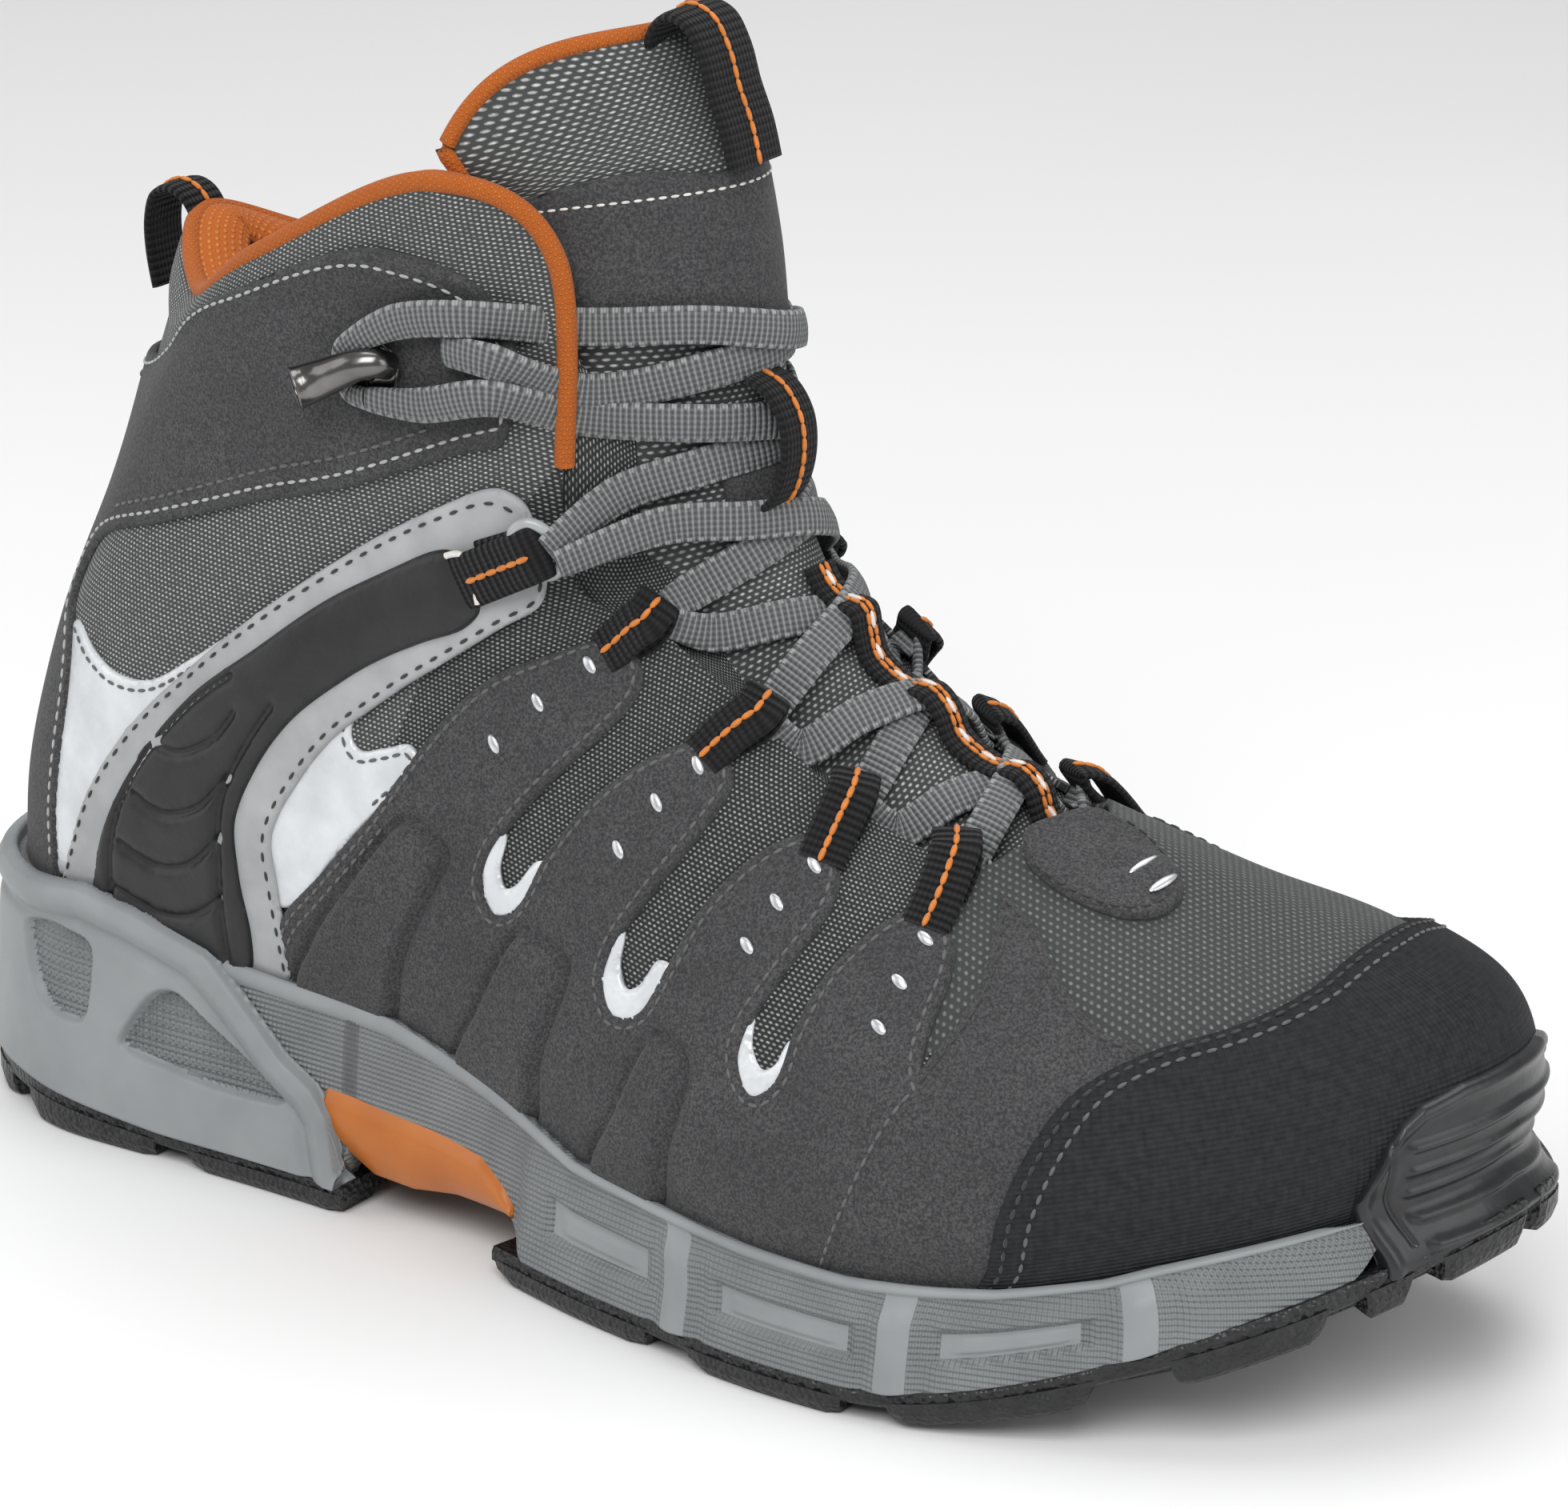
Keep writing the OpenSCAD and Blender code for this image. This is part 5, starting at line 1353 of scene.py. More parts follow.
def crossing(i, j, medial, off, ring=False):
    """Controls from the rear loop i on one side to the front loop j on the other, over the tongue."""
    si = RING_S if i < 0 else LOOP_S[i]
    sj = LOOP_S[j]
    if i < 0:
        q = ring_point(medial)
        p, n = on_upper(7.1, 4.95, 3.0, medial)
        start = (q + np.array([5.6, 0, -0.6]), n, 0.7)
    else:
        start = nose(i, medial)
    out = [start]
    for t in (-0.72, -0.4, 0.0, 0.4, 0.72):
        s = mix(si, sj, (t + 1.1) / 2.2)
        lift = off + (0.9 if abs(t) > 0.6 else 0.0)
        p, n = on_tongue(s, t, lift, medial)
        out.append((p, n, 1.0))
    out.append(nose(j, not medial))
    return out


def build_lower_lace():
    parts = []
    low, high = 1.5, 3.3
    for k in range(-1, 3):
        parts.append(lace(crossing(k, k + 1, False, high if k % 2 else low)))
        parts.append(lace(crossing(k, k + 1, True, low if k % 2 else high)))
    bottom = [nose(3, False)]
    for t, s, off, w in ((-0.75, 0.32, 2.2, 0.95), (-0.35, 0.12, 1.6, 1.0), (0, 0.06, 1.3, 1.0), (0.35, 0.12, 1.6, 1.0),
                         (0.75, 0.32, 2.2, 0.95)):
        p, n = on_tongue(s, t, off)
        bottom.append((p, n, w))
    bottom.append(nose(3, True))
    parts.append(lace(bottom))
    v, f, uv = merge(parts)
    make("lace_lower", v, f, MAT["lace"], "flex", uv, ("lace_lower",))


HOOK = (8.8, 3.98)


def hook_frame(medial):
    """Centre of the hook on the ankle overlay, and its forward, up and outward directions."""
    p, n = on_upper(HOOK[0], HOOK[1], 2.2, medial)
    n = n / np.linalg.norm(n)
    fwd = np.array([1.0, 0, 0.18])
    fwd -= n * fwd.dot(n)
    fwd /= np.linalg.norm(fwd)
    up = np.cross(fwd, n) * (1 if medial else -1)
    if up[2] < 0:
        up = -up
    return p, fwd, up, n


def build_upper_lace():
    parts = []
    for medial in (False, True):
        p, fwd, up, n = hook_frame(medial)
        sg = 1 if medial else 0
        q = ring_point(medial)
        _, nr = on_upper(7.1, 4.95, 3.0, medial)
        keeper_s = 5.2 + 0.16 * sg
        far = 0.8
        d = [(q + np.array([3.6, 0, 1.6]), nr, 0.72), (*on_tongue(5.0, -0.85, 2.6, medial), 1.0),
             (*on_tongue(5.12, -0.5, 1.9 + 1.5 * sg, medial), 1.0), (*on_tongue(keeper_s, 0, 1.5 + 1.7 * sg, medial), 0.95),
             (*on_tongue(5.5, 0.5, 1.9 + 1.5 * sg, medial), 1.0)]
        pm, fm, um, nm = hook_frame(not medial)
        d += [(*on_tongue(5.62, 0.92, 2.6, medial), 1.0), (pm + fm * 26 - um * 5.5 + nm * 1.2, nm, 1.0),
              (pm + fm * 13 - um * 6.0 + nm * 2.2, nm, 0.95), (pm + fm * 3.2 - um * 4.4 + nm * 2.8, nm, 0.6)]
        parts.append(lace(d))
        wrap = [(p + fwd * 3.2 - up * 4.4 + n * 2.8, n + fwd * 0.3, 0.6), (p - fwd * 0.6 - up * 3.4 + n * 1.8, n, 0.55),
                (p - fwd * 1.6 + n * 1.3, n, 0.5), (p - fwd * 0.4 + up * 3.6 + n * 1.8, n, 0.55),
                (p + fwd * 3.0 + up * 5.4 + n * 2.4, n, 0.7), (p + fwd * 12 + up * 8.2 + n * 2.2, n, 0.95),
                (p + fwd * 24 + up * 8.0 + n * 1.4, n, 1.0)]
        tail_off = 2.0 + 1.7 * (1 - sg)
        s_end = 6.2 if not medial else 6.05
        wrap += [(*on_tongue(6.45 - 0.25 * sg, -0.88, 3.0, medial), 1.0),
                 (*on_tongue(6.4 - 0.3 * sg, -0.45, tail_off, medial), 1.0), (*on_tongue(s_end, 0, tail_off, medial), 1.0),
                 (*on_tongue(5.95 + 0.1 * (1 - sg), 0.45, tail_off, medial), 1.0),
                 (*on_tongue(5.85 + 0.1 * (1 - sg), 0.9, 2.6, medial), 1.0)]
        pm, fm, um, nm = hook_frame(not medial)
        wrap += [(pm + fm * 28 + um * 0.5 + nm * 1.0, nm, 1.0), (pm + fm * 19 + um * 2.6 + nm * 0.6, nm, 0.8)]
        parts.append(lace(wrap))
    v, f, uv = merge(parts)
    make("lace_upper", v, f, MAT["lace"], "boot", uv, ("lace_upper",))


def webbing_loop(u_from, v_from, u_to, medial, base=0.6, width=8.2, reach=5.32):
    """A doubled webbing loop from a finger's tip over the throat edge; its front holds the lace."""
    top, back = [], []
    for k in np.linspace(0, 1, 5):
        u, v = mix(u_from, u_to, k), mix(v_from, 5.05, k)
        top.append(on_upper(u, v, base + 2.9 * ease(k, 0.0, 1.0) + 0.6, medial))
    tip = on_upper(u_to, reach, 2.6, medial)
    low = on_upper(u_to, 5.0, 0.7, medial)
    end = on_upper(mix(u_from, u_to, 0.5), mix(v_from, 5.05, 0.5), 0.4, medial)
    pts = [c[0] for c in top] + [tip[0], low[0], end[0]]
    n = top[-1][1]
    fwd = tip[0] - top[-1][0]
    fwd /= np.linalg.norm(fwd)
    ups = [c[1] for c in top] + [fwd, -n, -n]
    p = tail_smooth(pts, 8)
    m = len(p)
    key = np.linspace(0, 1, len(pts))
    hint = np.stack([np.interp(np.linspace(0, 1, m), key, np.array(ups)[:, k]) for k in range(3)], -1)
    return p, hint, width


def webbing_parts(p, hint, width, stitched, thread, body, thick=1.5, first=0):
    """Strap mesh plus a stitch line down the middle of its outer face."""
    t, side, up = frames_along(p, hint)
    keep = slice(first, stitched)
    add_stitches(p[keep] + up[keep] * (thick / 2 + 0.22), up[keep], thread, body, gap=2.2, length=2.5, thick=1.0)
    return strap_mesh(p, hint, width, thick, crown=0.1)


FINGER_TIPS = [(6.27, 4.42), (5.13, 4.1), (4.1, 3.98), (3.3, 3.92)]


def build_loops():
    for medial in (False, True):
        side = "medial" if medial else "lateral"
        parts = []
        for i, (u, v) in enumerate(FINGER_TIPS):
            p, hint, w = webbing_loop(u, v, LOOP_U[i], medial)
            parts.append(webbing_parts(p, hint, w, 40, "thread_orange", "flex"))
        v, f, uv = merge(parts)
        make(f"lace_loops_{side}", v, f, MAT["webbing"], "flex", uv, (f"lace_loops_{side}",))
        q = ring_point(medial)
        a, na = on_upper(7.46, 3.6, 2.0, medial)
        b, nb = on_upper(7.33, 3.95, 3.9, medial)
        na, nb = na / np.linalg.norm(na), nb / np.linalg.norm(nb)
        tip = q + (q - b) / np.linalg.norm(q - b) * 2.6
        under, _ = on_upper(7.34, 4.0, 2.4, medial)
        pts = [a, b, mix(b, q, 0.5) + nb * 0.6, q + nb * 1.3, tip, q - nb * 1.5, under]
        ups = [na, nb, nb, nb, (tip - q) / 2.6, -nb, -nb]
        p = tail_smooth(pts, 8)
        key = np.linspace(0, 1, len(pts))
        hint = np.stack([np.interp(np.linspace(0, 1, len(p)), key, np.array(ups)[:, k]) for k in range(3)], -1)
        v, f, uv = webbing_parts(p, hint, 9.4, 26, "thread_orange", "boot", first=6)
        make(f"strap_loop_{side}", v, f, MAT["webbing"], "boot", uv, (f"strap_loop_{side}",))
        line = resample(spline([(7.6, 3.66), (7.5, 3.82), (7.36, 3.88), (7.22, 3.88)], 8, closed=False), 0.8, closed=False,
                        metric=UPPER_SKIN.metric)
        u = TURN - line[:, 0] if medial else line[:, 0]
        tube(f"strap_edge_{side}", skin(u, line[:, 1], np.full(len(u), 3.6)), 0.55, MAT["thread_white"], "boot")
        build_ring(medial)


def build_ring(medial):
    """Small D-ring of grey plastic: its rear bar runs through the webbing, its front bow takes the lace."""
    side = "medial" if medial else "lateral"
    q = ring_point(medial)
    _, n = on_upper(7.2, 4.8, 2.0, medial)
    n /= np.linalg.norm(n)
    along = np.array([0.8, 0, 0.6])
    along -= n * along.dot(n)
    along /= np.linalg.norm(along)
    across = np.cross(n, along)
    loop = [(-0.4, -3.8), (-0.4, 0), (-0.4, 3.8), (1.0, 4.9), (3.2, 4.5), (4.6, 2.4), (4.9, 0), (4.6, -2.4),
            (3.2, -4.5), (1.0, -4.9)]
    pts = [q + along * a + across * b for a, b in loop]
    p = spline(np.array(pts), 10)
    v, f = ring_tube(p, 1.0, n)
    make(f"lace_ring_{side}", v, f, MAT["ring"], f"ring_{side}", v[:, :2], (f"lace_ring_{side}",))


def ring_tube(p, radius, hint, sides=14):
    """A closed tube round a closed line."""
    t = np.roll(p, -1, axis=0) - np.roll(p, 1, axis=0)
    t /= np.linalg.norm(t, axis=1, keepdims=True)
    side = np.cross(t, hint)
    side /= np.linalg.norm(side, axis=1, keepdims=True)
    up = np.cross(side, t)
    a = np.linspace(0, 2 * math.pi, sides, endpoint=False)
    ring = p[:, None] + radius * (np.cos(a)[None, :, None] * side[:, None] + np.sin(a)[None, :, None] * up[:, None])
    return ring.reshape(-1, 3), [tuple(f) for f in grid_faces(len(p), sides, wrap_n=True, wrap_m=True)]


def build_hooks():
    """Open hook: a hollow metal tube bent over, its mouth to the rear, on a riveted foot."""
    for medial in (False, True):
        side = "medial" if medial else "lateral"
        p, fwd, up, n = hook_frame(medial)
        at = lambda a, b, c: p + fwd * a + up * b + n * c
        line = tail_smooth([at(-7.4, -0.9, 7.4), at(-5.6, -0.6, 6.0), at(-3.0, 0, 5.1), at(0.6, 1.0, 4.8),
                            at(4.0, 1.8, 4.3), at(6.6, 1.6, 3.0), at(7.4, 0.4, 0.8)], 10)
        m = len(line)
        r = np.interp(np.linspace(0, 1, m), [0, 0.03, 0.1, 0.45, 0.8, 1], [3.5, 3.7, 3.5, 3.0, 2.5, 2.3])
        outer_line = line
        hint = np.broadcast_to(n, line.shape)
        t, sd, uu = frames_along(outer_line, hint)
        sides = 24
        a = np.linspace(0, 2 * math.pi, sides, endpoint=False)
        circle = lambda pts, s_, u_, rr: pts[:, None] + rr[:, None, None] * (np.cos(a)[None, :, None] * s_[:, None]
                                                                            + np.sin(a)[None, :, None] * u_[:, None])
        outer = circle(outer_line, sd, uu, r)
        depth = 16
        inner = circle(outer_line[:depth], sd[:depth], uu[:depth], (r[:depth] - 0.95) * np.linspace(1, 0.75, depth))
        rings = np.concatenate([inner[::-1], outer])
        faces = [tuple(f) for f in grid_faces(len(rings), sides, wrap_m=True)]
        faces += [tuple(range(sides))[::-1], tuple((len(rings) - 1) * sides + k for k in range(sides))]
        parts = [(rings.reshape(-1, 3), faces)]
        parts.append(disc(p + fwd * 3.0, n, 5.6, 1.1, fwd))
        v, f, k = [], [], 0
        for pv, pf in parts:
            v.append(pv)
            f += [tuple(i + k for i in q) for q in pf]
            k += len(pv)
        v = np.concatenate(v)
        make(f"lace_hook_{side}", v, f, MAT["hook"], "boot", v[:, :2], (f"lace_hook_{side}",))


def disc(c, n, r, h, hint, rings=6, sides=32, dome=0.5):
    """A low round disc with a softened rim: verts and faces."""
    a = np.cross(n, hint)
    a /= np.linalg.norm(a)
    b = np.cross(n, a)
    prof = [(1.0, 0.0), (1.0, h * 0.6), (0.94, h * 0.9), (0.7, h), (0.35, h + dome * 0.6), (0.05, h + dome)]
    v = [c + n * z + (a * math.cos(t) + b * math.sin(t)) * r * k for k, z in prof
         for t in np.linspace(0, 2 * math.pi, sides, endpoint=False)]
    f = [tuple(q) for q in grid_faces(len(prof), sides, wrap_m=True, flip=True)]
    f += [tuple(range(sides)), tuple((len(prof) - 1) * sides + k for k in range(sides))[::-1]]
    return np.array(v), f


# ---------------------------------------------------------------- webbing in the boot's centre plane
def centre_strip(name, pts, width, body, thread="thread_orange", y0=None, replaces=(), thick=1.5,
                 stitched=None, chain=False, turn=1):
    """Webbing along (x, z) points in the centre plane, stitched down its middle."""
    pts = np.array(pts, float)
    p2 = spline(np.column_stack([pts[:, 0], pts[:, 1], np.zeros(len(pts))]), 9, closed=False)
    p = np.stack([p2[:, 0], centre(p2[:, 0], p2[:, 1]), p2[:, 1]], -1)
    if y0 is not None:
        p[:, 1] = y0
    t = np.gradient(p, axis=0)
    up = turn * np.stack([t[:, 2], np.zeros(len(p)), -t[:, 0]], -1)
    up /= np.maximum(np.linalg.norm(up, axis=1, keepdims=True), 1e-9)
    _, side, up = frames_along(p, up)
    keep = slice(*(stitched or (0, len(p))))
    face = p[keep] + up[keep] * (thick / 2 + 0.25)
    if chain:
        add_stitches(face + side[keep] * 0.75, up[keep], "thread_orange", body, gap=2.0, length=2.2, thick=0.9)
        add_stitches(face - side[keep] * 0.75, up[keep], "thread_orange", body, gap=2.0, length=2.2, thick=0.9)
        add_stitches(face + up[keep] * 0.25, up[keep], "thread_white", body, gap=5.2, length=3.0, thick=0.95)
    else:
        add_stitches(face, up[keep], thread, body, gap=2.3, length=2.6, thick=1.0)
    v, f, uv = strap_mesh(p, up, width, thick, crown=0.1)
    return make(name, v, f, MAT["webbing"], body, uv, replaces)


# ---------------------------------------------------------------- put together
GUSSET_V = [[(6.4, 2.42), (6.4, 2.1), (6.32, 1.85), (6.18, 1.74), (6.03, 1.92), (5.93, 2.4), (6.03, 2.36), (6.12, 2.08),
             (6.19, 2.0), (6.27, 2.12), (6.31, 2.4)],
            [(5.32, 2.3), (5.33, 1.9), (5.27, 1.66), (5.14, 1.56), (4.96, 1.7), (4.86, 2.2), (4.95, 2.2), (5.04, 1.92),
             (5.12, 1.84), (5.2, 1.96), (5.24, 2.28)],
            [(4.4, 2.3), (4.42, 1.85), (4.36, 1.6), (4.25, 1.54), (4.1, 1.7), (4.02, 2.2), (4.09, 2.16), (4.16, 1.9),
             (4.23, 1.82), (4.3, 1.94), (4.33, 2.28)]]


def build_panels():
    for medial in (False, True):
        side = "medial" if medial else "lateral"
        rear = panel(f"heel_patch_rear_{side}", REAR_PATCH, MAT["silver"], base=0.0, thick=0.8, medial=medial,
                     replaces=(f"heel_patch_{side}",))
        panel(f"heel_patch_front_{side}", FRONT_PATCH, MAT["silver"], base=0.0, thick=0.8, medial=medial)
        for k, tip in enumerate(GUSSET_V):
            panel(f"gusset_tip_{k + 1}_{side}", tip, MAT["silver"], body="flex", base=0.2, thick=0.9, edge=0.6,
                  step=0.9, medial=medial)
        panel(f"quarter_overlay_{side}", QUARTER, MAT["suede"], body="flex", base=0.3, thick=SUEDE,
              shape=pad_shape, medial=medial, replaces=(f"quarter_overlay_{side}",), step=1.1,
              grooves=[(pad + pad[:1], 0.75, 1.2) for pad in PADS])
        panel(f"vamp_overlay_{side}", VAMP_SIDE, MAT["suede"], body="flex", base=0.1, thick=SUEDE,
              medial=medial, replaces=(f"vamp_overlay_{side}",))
        plate_line = TRIM_TOP + TRIM_LOW[::1]
        panel(f"strap_trim_{side}", plate_line, MAT["trim"], base=0.8, thick=1.1, medial=medial,
              replaces=(f"strap_trim_{side}",))
        panel(f"heel_strap_{side}", STRAP_TOP + STRAP_LOW, MAT["strap"], base=1.5, thick=1.6,
              edge=1.3, medial=medial, grooves=STRAP_GROOVES, replaces=(f"heel_strap_{side}",), step=0.95,
              shape=lambda u, v, far: 0.7 * np.clip(far / 6.0, 0, 1)**0.8)
        # Painted highlights: light shiny ovals along each finger of the quarter.
        spots, ways = [], []
        for row in HIGHLIGHT_SPOTS:
            for k, (u, v) in enumerate(row):
                spots.append((u, v))
                ways.append((0.28, 0.9) if k == 0 else (0.95, 0.55))
        v, f, uv = oval(None, spots, [(-1.0, -0.9)] * len(spots), medial, SUEDE + 0.35, (1.7, 0.85, 0.4), "shine", "flex")
        make(f"painted_highlights_{side}", v, f, MAT["shine"], "flex", uv)
    panel("ankle_overlay", ANKLE_ALL, MAT["suede"], base=0.15, thick=SUEDE, replaces=("ankle_overlay",))
    rand = RAND_EDGE + [(0.0, 3.04)] + [(-u, v) for u, v in reversed(RAND_EDGE)]
    rand = rand + [(-1.5, -0.05), (0.0, -0.05), (1.5, -0.05)]
    panel("toe_rand", rand, MAT["rand"], body="flex", base=0.4, thick=1.8, edge=1.2,
          replaces=("toe_rand",))
    boss = lambda u, v, far: 1.2 * np.exp(-(((u - 0.9) / 0.42)**2 + ((v - 4.46) / 0.24)**2)**2)
    panel("vamp_tab", TAB, MAT["suede"], body="flex", base=0.5, thick=1.6, replaces=("vamp_tab",), step=0.9,
          edge=1.1, shape=boss)
    # Painted highlight: two light shiny ovals on the tab's raised boss.
    v, f, uv = oval(None, [(0.9, 4.44), (1.0, 4.24)], [(-1.0, 0.1), (-1.0, 0.1)], False, 2.9, (3.1, 0.85, 0.5), "shine", "flex")
    make("tab_painted_highlight", v, f, MAT["shine"], "flex", uv)
    patch = [(6.35, -0.84), (6.9, -0.96), (7.6, -0.97), (8.1, -0.93), (8.05, -0.6), (7.8, -0.2), (7.8, 0.2), (8.05, 0.6),
             (8.1, 0.93), (7.6, 0.97), (6.9, 0.96), (6.35, 0.84), (6.15, 0.4), (6.1, 0.0), (6.15, -0.4)]
    panel("tongue_patch", patch, MAT["suede"], body="tilt", base=0.4, thick=1.2, ground_skin=TONGUE_SKIN,
          replaces=("tongue_patch",))
    low_patch = [(4.3, -0.42), (4.85, -0.45), (5.25, -0.42), (5.25, 0.42), (4.85, 0.45), (4.3, 0.42)]
    panel("tongue_lower_patch", low_patch, MAT["suede"], body="boot", base=0.3, thick=1.0,
          ground_skin=TONGUE_SKIN, replaces=("tongue_lower_patch",))


STRAP_GROOVES = [
    ([(9.3, 1.55), (9.0, 1.55), (8.72, 1.75), (8.62, 1.95)], 0.65, 1.4),
    ([(9.3, 1.2), (9.0, 1.15), (8.7, 1.3), (8.55, 1.55)], 0.65, 1.4),
    ([(9.35, 0.85), (9.0, 0.78), (8.7, 0.9), (8.5, 1.15)], 0.65, 1.4),
    ([(9.4, 0.5), (9.0, 0.42), (8.7, 0.5), (8.45, 0.72)], 0.65, 1.4),
    ([(9.42, 0.2), (9.42, 0.9), (9.3, 1.4), (9.02, 1.85), (8.75, 2.15)], 0.65, 1.4),
    ([(8.42, 0.25), (8.46, 0.9), (8.55, 1.4), (8.46, 1.8), (8.35, 2.1)], 0.65, 1.4),
]


def build_stitching():
    for medial in (False, True):
        kw = dict(medial=medial)
        back = lambda u, v: (v > 0.3) & (u < 7.6)
        hem(QUARTER, "thread_dark", body="flex", d=1.7, off=SUEDE + 0.35, keep=lambda u, v: v > 0.25, **kw)
        hem(QUARTER, "thread_dark", body="flex", d=3.6, off=SUEDE + 0.35, keep=lambda u, v: (v > 0.4) & (v < 1.9) & (u > 7.0), **kw)
        hem(VAMP_SIDE, "thread_black", body="flex", d=1.5, off=SUEDE + 0.15, keep=lambda u, v: v > 0.3, **kw)
        trim = TRIM_TOP + TRIM_LOW
        hem(trim, "thread_black", d=1.3, off=2.0, keep=lambda u, v: v > 0.25, gap=3.4, **kw)
        hem(REAR_PATCH, "thread_dark", d=1.4, off=0.9, keep=lambda u, v: v > 1.7, **kw)
        hem(FRONT_PATCH, "thread_dark", d=1.4, off=0.9, keep=lambda u, v: v > 1.9, **kw)
    hem(ANKLE_ALL, "thread_light", d=2.0, off=SUEDE + 0.25, keep=lambda u, v: v > 0.4)
    hem(ANKLE_ALL, "thread_dark", d=4.2, off=SUEDE + 0.25, keep=lambda u, v: (v > 2.9) & (v < 3.9))
    for d in (1.8, 4.0):
        rand = RAND_EDGE + [(0.0, 3.04)] + [(-u, v) for u, v in reversed(RAND_EDGE)]
        closed = rand + [(-1.5, -0.6), (0.0, -0.6), (1.5, -0.6)]
        hem(closed, "thread_black" if d < 3 else "thread_dark", body="flex", d=d, off=2.3, keep=lambda u, v: v > 0.15)
    hem(TAB, "thread_black", body="flex", d=1.6, off=2.2, keep=lambda u, v: v < 4.9)
    patch_top = [(7.63 + 0.28 * t * t, t) for t in np.linspace(-0.9, 0.9, 9)]
    stitch_uv(patch_top, "thread_white", body="tongue_top", off=1.7, ground_skin=TONGUE_SKIN, gap=2.0, length=1.4,
              thick=0.5)
    patch_low = [(6.5, -0.8), (6.3, -0.4), (6.25, 0.0), (6.3, 0.4), (6.5, 0.8)]
    stitch_uv(patch_low, "thread_dark", body="tongue_top", off=1.75, ground_skin=TONGUE_SKIN)
    stitch_uv([(5.1, -0.36), (5.12, 0.0), (5.1, 0.36)], "thread_black", off=1.4, ground_skin=TONGUE_SKIN)


def build_webbing():
    keeper = [(160.5, 128), (163.6, 130.5), (166.6, 134), (168.2, 140), (167.6, 146), (164.5, 150.5), (160.8, 152.0)]
    keeper = [(x - 0.8, z) for x, z in keeper]
    centre_strip("tongue_keeper", keeper, 9.6, "boot", replaces=("tongue_keeper",), y0=-4.5)
    pts = []
    for s in np.linspace(0.38, 3.9, 17):
        p = tongue_row(np.array(s))
        d = tongue_row(np.array(s + 0.05)) - tongue_row(np.array(s - 0.05))
        n = np.array([d[1], -d[0]])
        n /= np.linalg.norm(n)
        lift = 1.1 + 4.0 * sum(math.exp(-((s - c) / 0.24)**2) for c in (0.95, 2.05, 3.2))
        pts.append((p[0] - n[0] * -1 * lift if n[1] > 0 else p[0] - n[0] * lift, p[1] + abs(n[1]) * lift))
    centre_strip("centre_webbing", pts, 7.6, "flex", replaces=("centre_webbing",), chain=True)
    loop = [(156.6, 186), (155.0, 192), (152.5, 198), (150.5, 204), (147.5, 208.5), (143.5, 209.5), (140.6, 206.5),
            (140.0, 201), (140.4, 196)]
    centre_strip("tongue_loop", loop, 14.5, "tongue_pull", replaces=("tongue_loop",), thick=1.7, y0=-1.5)
    heel = [(32.6, 146), (31.4, 152), (31.2, 158), (32.6, 162.5), (35.6, 164), (39.0, 163), (41.4, 160), (42.6, 157)]
    centre_strip("heel_loop", heel, 9.5, "heel_pull", replaces=("heel_loop",), turn=-1)


def build_rivets():
    parts = []
    for medial in (False, True):
        p, fwd, up, n = hook_frame(medial)
        parts.append(disc(p + fwd * 3.0 + n * 1.0, n, 2.2, 0.7, fwd, dome=0.4))
    verts = np.concatenate([v for v, _ in parts])
    faces = [tuple(i + k * len(parts[0][0]) for i in q) for k, (_, f) in enumerate(parts) for q in f]
    make("hook_rivets", verts, faces, MAT["hook"], "boot", verts[:, :2], ("hook_rivets",))


def inner_finish():
    """Materials of the CAD pieces that stay as they are: boards, footbed, shank, puff and counter."""
    finishes = {"lasting_board": ((0.42, 0.33, 0.2), (0.5, 0.4, 0.26), 0.9), "footbed": ((0.5, 0.16, 0.03), (0.6, 0.22, 0.05), 0.95),
                "shank_plate": ((0.1, 0.1, 0.1), (0.14, 0.14, 0.14), 0.4), "toe_puff": ((0.55, 0.52, 0.45), (0.62, 0.6, 0.52), 0.8),
                "heel_counter": ((0.55, 0.52, 0.45), (0.62, 0.6, 0.52), 0.8)}
    for key, (a, b, rough) in finishes.items():
        s = Shader(f"{key}_finish", roughness=rough)
        s.color(s.blend(s.ramp(s.noise(400.0, 3.0), 0.3, 0.7), a, b))
        s.bump(s.noise(1200.0, 3.0), 0.2, 0.5)
        for name, obj in frame["nodes"].items():
            if name.startswith(key):
                obj.data.materials.clear()
                obj.data.materials.append(s.mat)


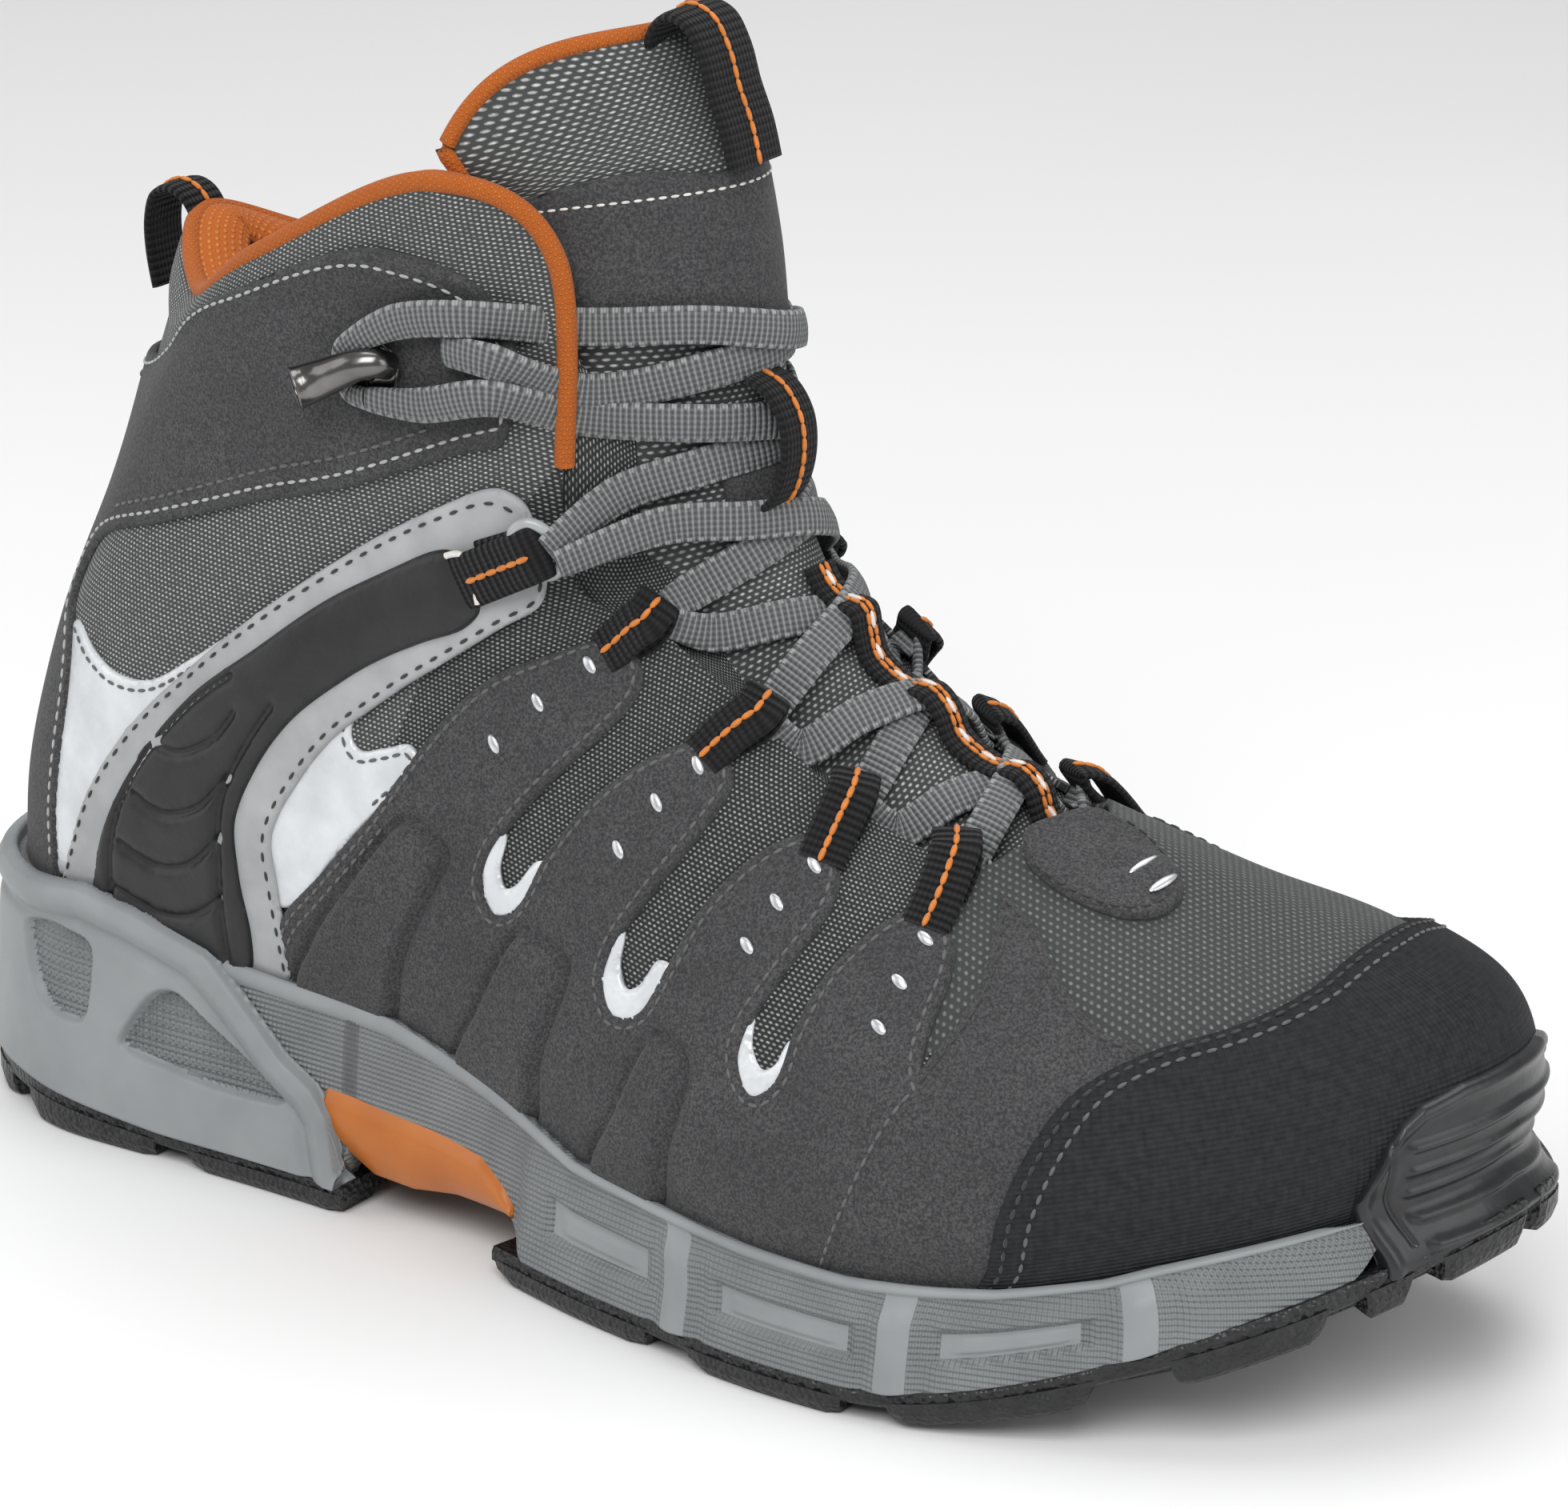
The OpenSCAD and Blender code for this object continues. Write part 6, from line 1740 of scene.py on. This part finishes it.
def build_stage():
    w = 6.0
    mesh = bpy.data.meshes.new("floor")
    mesh.from_pydata([(-w, -w, 0), (w, -w, 0), (w, w, 0), (-w, w, 0)], [], [(0, 1, 2, 3)])
    s = Shader("floor_pale", roughness=0.85)
    s.color(s.blend(s.ramp(s.noise(3.0, 2.0), 0.3, 0.7), (0.86, 0.86, 0.86), (0.89, 0.89, 0.89)))
    mesh.materials.append(s.mat)
    floor = bpy.data.objects.new("floor", mesh)
    bpy.context.scene.collection.objects.link(floor)
    world = bpy.data.worlds.new("studio")
    world.use_nodes = True
    world.node_tree.nodes["Background"].inputs[0].default_value = (1, 1, 1, 1)
    world.node_tree.nodes["Background"].inputs[1].default_value = 0.36
    bpy.context.scene.world = world
    bpy.context.scene.view_settings.view_transform = "Standard"
    for name, place, aim, power, size in (("key", (0.55, -0.95, 1.15), (0.11, 0, 0.08), 15, 0.9),
                                          ("fill", (-0.9, -0.7, 0.6), (0.11, 0, 0.08), 4.5, 1.0),
                                          ("top", (0.0, 0.4, 1.4), (0.11, 0, 0.08), 8, 1.0),
                                          ("front", (1.2, 0.1, 0.5), (0.11, 0, 0.08), 4, 0.8)):
        light = bpy.data.lights.new(name, "AREA")
        light.energy, light.size = power, size
        obj = bpy.data.objects.new(name, light)
        obj.location = place
        obj.rotation_euler = (Vector(aim) - Vector(place)).to_track_quat("-Z", "Y").to_euler()
        bpy.context.scene.collection.objects.link(obj)


def build_camera():
    azimuth, elevation, distance = math.radians(35), math.radians(20), 1.1
    target = Vector((0.110, 0, 0.080))
    back = Vector((math.sin(azimuth) * math.cos(elevation), -math.cos(azimuth) * math.cos(elevation), math.sin(elevation)))
    data = bpy.data.cameras.new("camera")
    data.lens, data.sensor_width, data.shift_x, data.shift_y = 151.3, 36, 0.0365, 0.0120
    cam = bpy.data.objects.new("camera", data)
    cam.location = target + back * distance
    cam.rotation_euler = (-back).to_track_quat("-Z", "Y").to_euler()
    bpy.context.scene.collection.objects.link(cam)
    bpy.context.scene.camera = cam


build_mesh_shells()
build_collar()
build_tongue()
build_gussets()
build_panels()
build_midsole()
build_heel_frame()
build_outsole()
build_bumper()
build_arch()
build_lower_lace()
build_upper_lace()
build_loops()
build_hooks()
build_rivets()
build_webbing()
build_stitching()
build_threads()
inner_finish()
build_stage()
build_camera()
